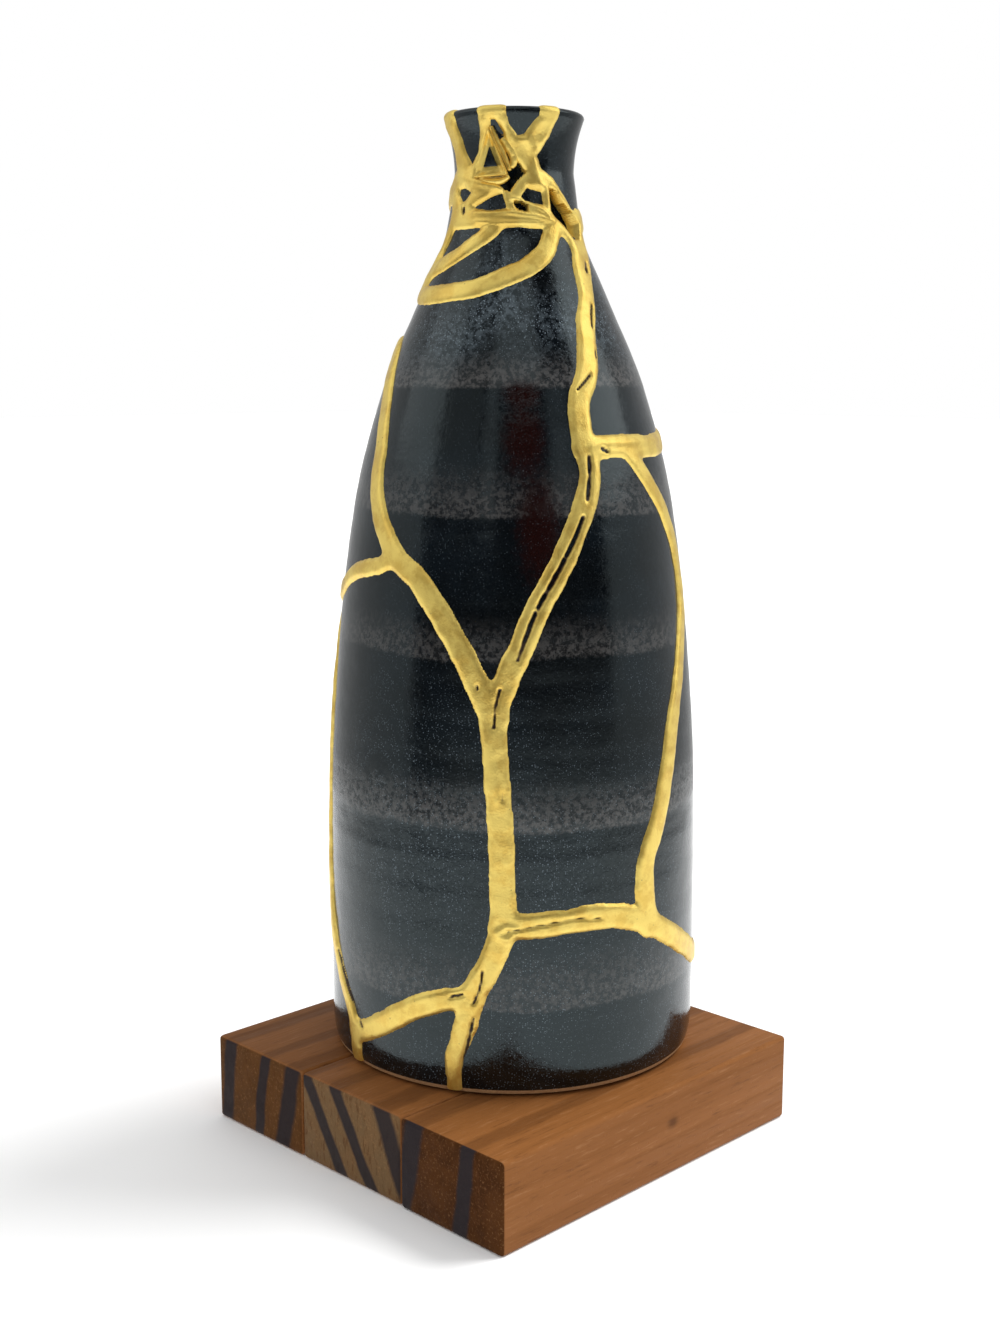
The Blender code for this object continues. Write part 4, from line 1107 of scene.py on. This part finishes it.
straps = (
    ("edge", ((491, 126), (496, 138), (503, 152), (510, 171)), 0.70, 0.9),
    ("beside", ((502, 138), (509, 148), (514, 159), (511, 168)), 1.05, 0.7),
    ("below", ((481, 178), (490, 181), (500, 181), (509, 176)), 0.95, 0.9),
)


def makeStraps(goldLook):
    for name, pixels, wide, thick in straps:
        route = smoothRoute(fromPhoto(pixels), 0.4 * mm)
        places = onSkin(np.array([place[0] for place in route]), np.array([place[1] for place in route]), 0.0)
        bm = bmesh.new()
        bmesh.ops.create_circle(bm, cap_ends=True, segments=16, radius=1.0)
        acrossLayer, outLayer = bm.verts.layers.float.new("across"), bm.verts.layers.float.new("out")
        for vert in bm.verts:
            vert[acrossLayer], vert[outLayer] = vert.co.x, vert.co.y
        bm.faces.ensure_lookup_table()
        end = bm.faces[0]
        for k in range(len(places)):
            middle = Vector(places[k])
            along = Vector(places[min(k + 1, len(places) - 1)] - places[max(k - 1, 0)]).normalized()
            out = middle - Vector((vase["axis"].x, vase["axis"].y, middle.z))
            across = along.cross(out).normalized()
            out = across.cross(along)
            size = mm * (0.45 + 0.55 * math.sin(math.pi * (k + 0.5) / len(places)) ** 0.6)
            if k:
                end = extruded(bm, [end], bmesh.types.BMFace, keep=k == 1)[0]
            for vert in end.verts:
                wobble = 1 + 0.18 * noise.noise(vert.co * 900)
                vert.co = middle + across * vert[acrossLayer] * wide * size * wobble
                vert.co += out * (vert[outLayer] * thick * size * wobble + 0.0001)
        finishPiece("gold_strap_" + name, bm, goldLook, "gold", "gold_seams", sharp=70)


# Base

base = {
    "rounding": 0.0010,
    "knot": (673, 1122),  # pixels
    "knotSize": (2.0, 2.0, 1.3),  # mm
    "shifts": {"stave_back": 0.0, "stave_middle": 0.37, "stave_front": 0.81},  # each stave has its own grain
    "warm": (0.205, 0.078, 0.021, 1),
    "pale": (0.238, 0.093, 0.027, 1),
    "streak": (0.072, 0.026, 0.008, 1),
    "dust": (0.34, 0.17, 0.075, 1),
    "ring": (0.022, 0.019, 0.022, 1),
    "ends": {
        "stave_back": (0.085, 0.036, 0.011, 1),
        "stave_middle": (0.145, 0.088, 0.042, 1),
        "stave_front": (0.046, 0.016, 0.004, 1),
    },
    # Dark year rings on the end grain by pixels of the photograph: upper place, lower place, width in mm
    "rings": {
        "stave_back": (((230, 1045), (226, 1120), 4.4), ((264, 1061), (257, 1135), 3.8),
                       ((291, 1075), (281, 1145), 5.4)),
        "stave_middle": (((306, 1082), (341, 1177), 4.6), ((335, 1094), (371, 1192), 4.6),
                         ((379, 1112), (395, 1165), 6.4)),
        "stave_front": (((412, 1130), (402, 1212), 6.0), ((466, 1155), (459, 1240), 4.4)),
    },
}


def onEndGrain(pixel):  # (y, z) in metres on the left end of the staves
    place, ray = photoRay(*pixel)
    t = (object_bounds()[0][0] - place.x) / ray.x
    found = place + ray * t
    return found.y, found.z


def onRightFace(pixel):  # the place on the long side that faces the viewer's right
    place, ray = photoRay(*pixel)
    return place + ray * ((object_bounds()[0][1] - place.y) / ray.y)


def woodMaterial(node, stripes, speckles):
    material, tree, shader, coords = newMaterial("oiledWood" + node[len("stave_"):].capitalize())
    shift = base["shifts"][node]
    moved = placedVector(tree, coords, location=(shift, shift * 0.6, shift * 0.3))
    split = addNode(tree, "ShaderNodeSeparateXYZ", {0: coords}).outputs
    across = times(tree, split["Y"], 1000.0)
    up = times(tree, split["Z"], 1000.0)
    x = times(tree, split["X"], 1000.0)
    bend = sway(tree, moved, 90, 2.4)
    wavy = plus(tree, across, bend)
    total = 0.0
    for top, bottom, width in base["rings"][node]:
        (y1, z1), (y2, z2) = onEndGrain(top), onEndGrain(bottom)
        lean = (y1 - y2) / (z1 - z2)
        values = {"Across": wavy, "Up": up, "Place": (y1 - lean * z1) / mm, "Lean": lean, "Width": width}
        total = greater(tree, total, useGroup(tree, stripes, values))
    fibres = stretchedNoise(tree, moved, (9, 420, 420), 3, 0.6, 0.4)
    broad = stretchedNoise(tree, moved, (5, 95, 95), 2, 0.5, 0.6)
    endMask = ramp(tree, x, -49.15, -49.45)
    endMask = greater(tree, endMask, ramp(tree, x, 49.6, 49.9))
    side = mixColours(tree, ramp(tree, broad, 0.30, 0.75), base["pale"], base["warm"])
    side = mixColours(tree, ramp(tree, fibres, 0.50, 0.78, 0.0, 0.25), side, base["streak"])
    short = stretchedNoise(tree, moved, (130, 1300, 1300), 3, 0.7, 0.3)
    side = mixColours(tree, ramp(tree, short, 0.55, 0.75, 0.0, 0.5), side, base["streak"])
    side = mixColours(tree, ramp(tree, short, 0.45, 0.28, 0.0, 0.35), side, base["dust"])
    onTop = ramp(tree, up, 20.6, 21.3, 0.10, 0.42)
    side = mixColours(tree, times(tree, total, onTop), side, base["streak"])
    off = distanceFrom(tree, coords, onRightFace(base["knot"]), base["knotSize"])
    off = plus(tree, off, times(tree, short, 1.2))
    side = mixColours(tree, ramp(tree, off, 0.8, 2.1, 0.75, 0.0), side, base["streak"])
    dots = specksOn(tree, speckles, moved, 1100.0, 0.30, 0.55)
    mottled = ramp(tree, noiseNode(tree, moved, 160, 3, 0.6), 0.35, 0.65, 0.0, 0.14)
    end = mixColours(tree, mottled, base["ends"][node], base["warm"])
    end = mixColours(tree, times(tree, dots, 0.75), end, base["streak"])
    chalky = ramp(tree, noiseNode(tree, moved, 1500, 3, 0.7), 0.52, 0.75, 0.0, 0.35)
    end = mixColours(tree, chalky, end, base["dust"])
    rings = stretchedNoise(tree, moved, (40, 900, 260), 3, 0.7)
    end = mixColours(tree, ramp(tree, rings, 0.50, 0.70, 0.0, 0.6), end, base["streak"])
    end = mixColours(tree, times(tree, total, 0.92), end, base["ring"])
    setInputs(tree, shader, {
        "Base Color": mixColours(tree, endMask, side, end),
        "Roughness": ramp(tree, fibres, 0.3, 0.8, 0.50, 0.68),
        "Specular IOR Level": mathNode(tree, "MULTIPLY_ADD", endMask, -0.09, 0.12),
    })
    relief = plus(tree, fibres, times(tree, dots, -0.6))
    addBump(tree, shader, 0.25, 0.0004, relief)
    return material


def makeStave(node, material):
    low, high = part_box(node)
    bm = bmesh.new()
    bmesh.ops.create_cube(bm, size=1.0)
    bmesh.ops.scale(bm, verts=bm.verts, vec=high - low)
    bmesh.ops.translate(bm, verts=bm.verts, vec=(low + high) / 2)
    roundEdges(bm, base["rounding"], 4)
    finishPiece(node.replace("stave", "wood"), bm, material, "wood", node, sharp=35)


# Room: floor, lights and camera

studio = {
    "floor": (0.93, 0.93, 0.93, 1),
    "sky": (0.94, 0.94, 0.94, 1),
    "key": {"from": (0.62, -0.28, 0.80), "spread": math.radians(28), "power": 2.6},
    # What the glossy surfaces see, in degrees round from the front and above the horizon
    "sides": 0.55,
    "table": {"top": -13, "level": 1.35},
    "shade": {"from": -66, "to": 66, "level": 0.03},
    "glow": {"from": -13, "to": 5, "level": 0.60},
    "panels": (  # from, to, bottom, top, brightness
        (-108, -63, 15, 85, 1.1), (-63, -28, 15, 85, 0.33), (-25, -14, 14, 85, 0.60), (-10, -8, 14, 60, 0.30),
        (30, 50, 15, 36, 0.55), (66, 106, 13, 85, 2.0), (-20, 30, 37, 85, 0.8),
    ),
}


def skyStep(tree, value, edge, soft):  # 0 below an edge, 1 above it
    return ramp(tree, value, edge - soft, edge + soft)


def skyPatch(tree, turn, up, left, right, low, high, soft):
    sides = minus(tree, skyStep(tree, turn, left, soft), skyStep(tree, turn, right, soft))
    levels = minus(tree, skyStep(tree, up, low, soft), skyStep(tree, up, high, soft * 4))
    return times(tree, sides, levels)


def makeRoom():
    floorMaterial = bpy.data.materials.new("paleFloor")
    floorMaterial.use_nodes = True
    shader = floorMaterial.node_tree.nodes["Principled BSDF"]
    setInputs(floorMaterial.node_tree, shader, {"Base Color": studio["floor"], "Roughness": 0.9})
    bm = bmesh.new()
    bmesh.ops.create_grid(bm, x_segments=1, y_segments=1, size=6.0)
    mesh = bpy.data.meshes.new("floor")
    bm.to_mesh(mesh)
    bm.free()
    mesh.materials.append(floorMaterial)
    floor = bpy.data.objects.new("floor", mesh)
    bpy.context.scene.collection.objects.link(floor)
    floor.visible_glossy = False
    floor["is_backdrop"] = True
    world = bpy.data.worlds.new("studio")
    bpy.context.scene.world = world
    world.use_nodes = True
    tree = world.node_tree
    background = tree.nodes["Background"]
    looked = addNode(tree, "ShaderNodeTexCoord").outputs["Generated"]
    turned = placedVector(tree, looked, rotation=(0, 0, -vase["front"]), kind="POINT")
    split = addNode(tree, "ShaderNodeSeparateXYZ", {0: turned}).outputs
    turn = mathNode(tree, "DEGREES", mathNode(tree, "ARCTAN2", split["Y"], split["X"]))
    up = mathNode(tree, "DEGREES", mathNode(tree, "ARCSINE", split["Z"]))
    shade, glow, table = studio["shade"], studio["glow"], studio["table"]
    front = minus(tree, skyStep(tree, turn, shade["from"], 4.0), skyStep(tree, turn, shade["to"], 4.0))
    level = ramp(tree, front, 0, 1, studio["sides"], shade["level"])
    fading = ramp(tree, up, glow["from"], glow["to"], glow["level"], 0.0)
    fading = times(tree, fading, ramp(tree, turn, -60, -18, 0.25, 1.0))
    level = greater(tree, level, fading)
    for left, right, low, high, bright in studio["panels"]:
        panel = skyPatch(tree, turn, up, left, right, low, high, 3.0)
        level = greater(tree, level, times(tree, panel, bright))
    level = greater(tree, level, ramp(tree, up, table["top"] - 1, table["top"] + 1, table["level"], 0.0))
    glossy = addNode(tree, "ShaderNodeLightPath").outputs["Is Glossy Ray"]
    looking = addNode(tree, "ShaderNodeLightPath").outputs["Is Camera Ray"]
    seen = mixColours(tree, glossy, mixColours(tree, looking, studio["sky"], (1, 1, 1, 1)), level)
    setInputs(tree, background, {"Color": seen, "Strength": 1.0})
    key = bpy.data.objects.new("key", bpy.data.lights.new("key", "SUN"))
    key.data.angle, key.data.energy = studio["key"]["spread"], studio["key"]["power"]
    key.rotation_euler = Vector(studio["key"]["from"]).to_track_quat("Z", "Y").to_euler()
    bpy.context.scene.collection.objects.link(key)
    key.visible_glossy = False
    bpy.context.scene.view_settings.view_transform = "Standard"


makeCamera()
makeRoom()
print("camera and room ready")
speckles, bands, stripes = speckleGroup(), bandGroup(), stripeGroup()
glazeLook = glazeMaterial(speckles, bands)
goldLook = goldMaterial(speckles)
print("materials ready")
makeSherds(glazeLook)
print("sherds ready")
makeGold(goldLook)
print("gold ready")
makeSetIn(goldLook, glazeLook)
makeStraps(goldLook)
print("set-in sherd ready")
for node in ("stave_front", "stave_middle", "stave_back"):
    makeStave(node, woodMaterial(node, stripes, speckles))
print("base ready")
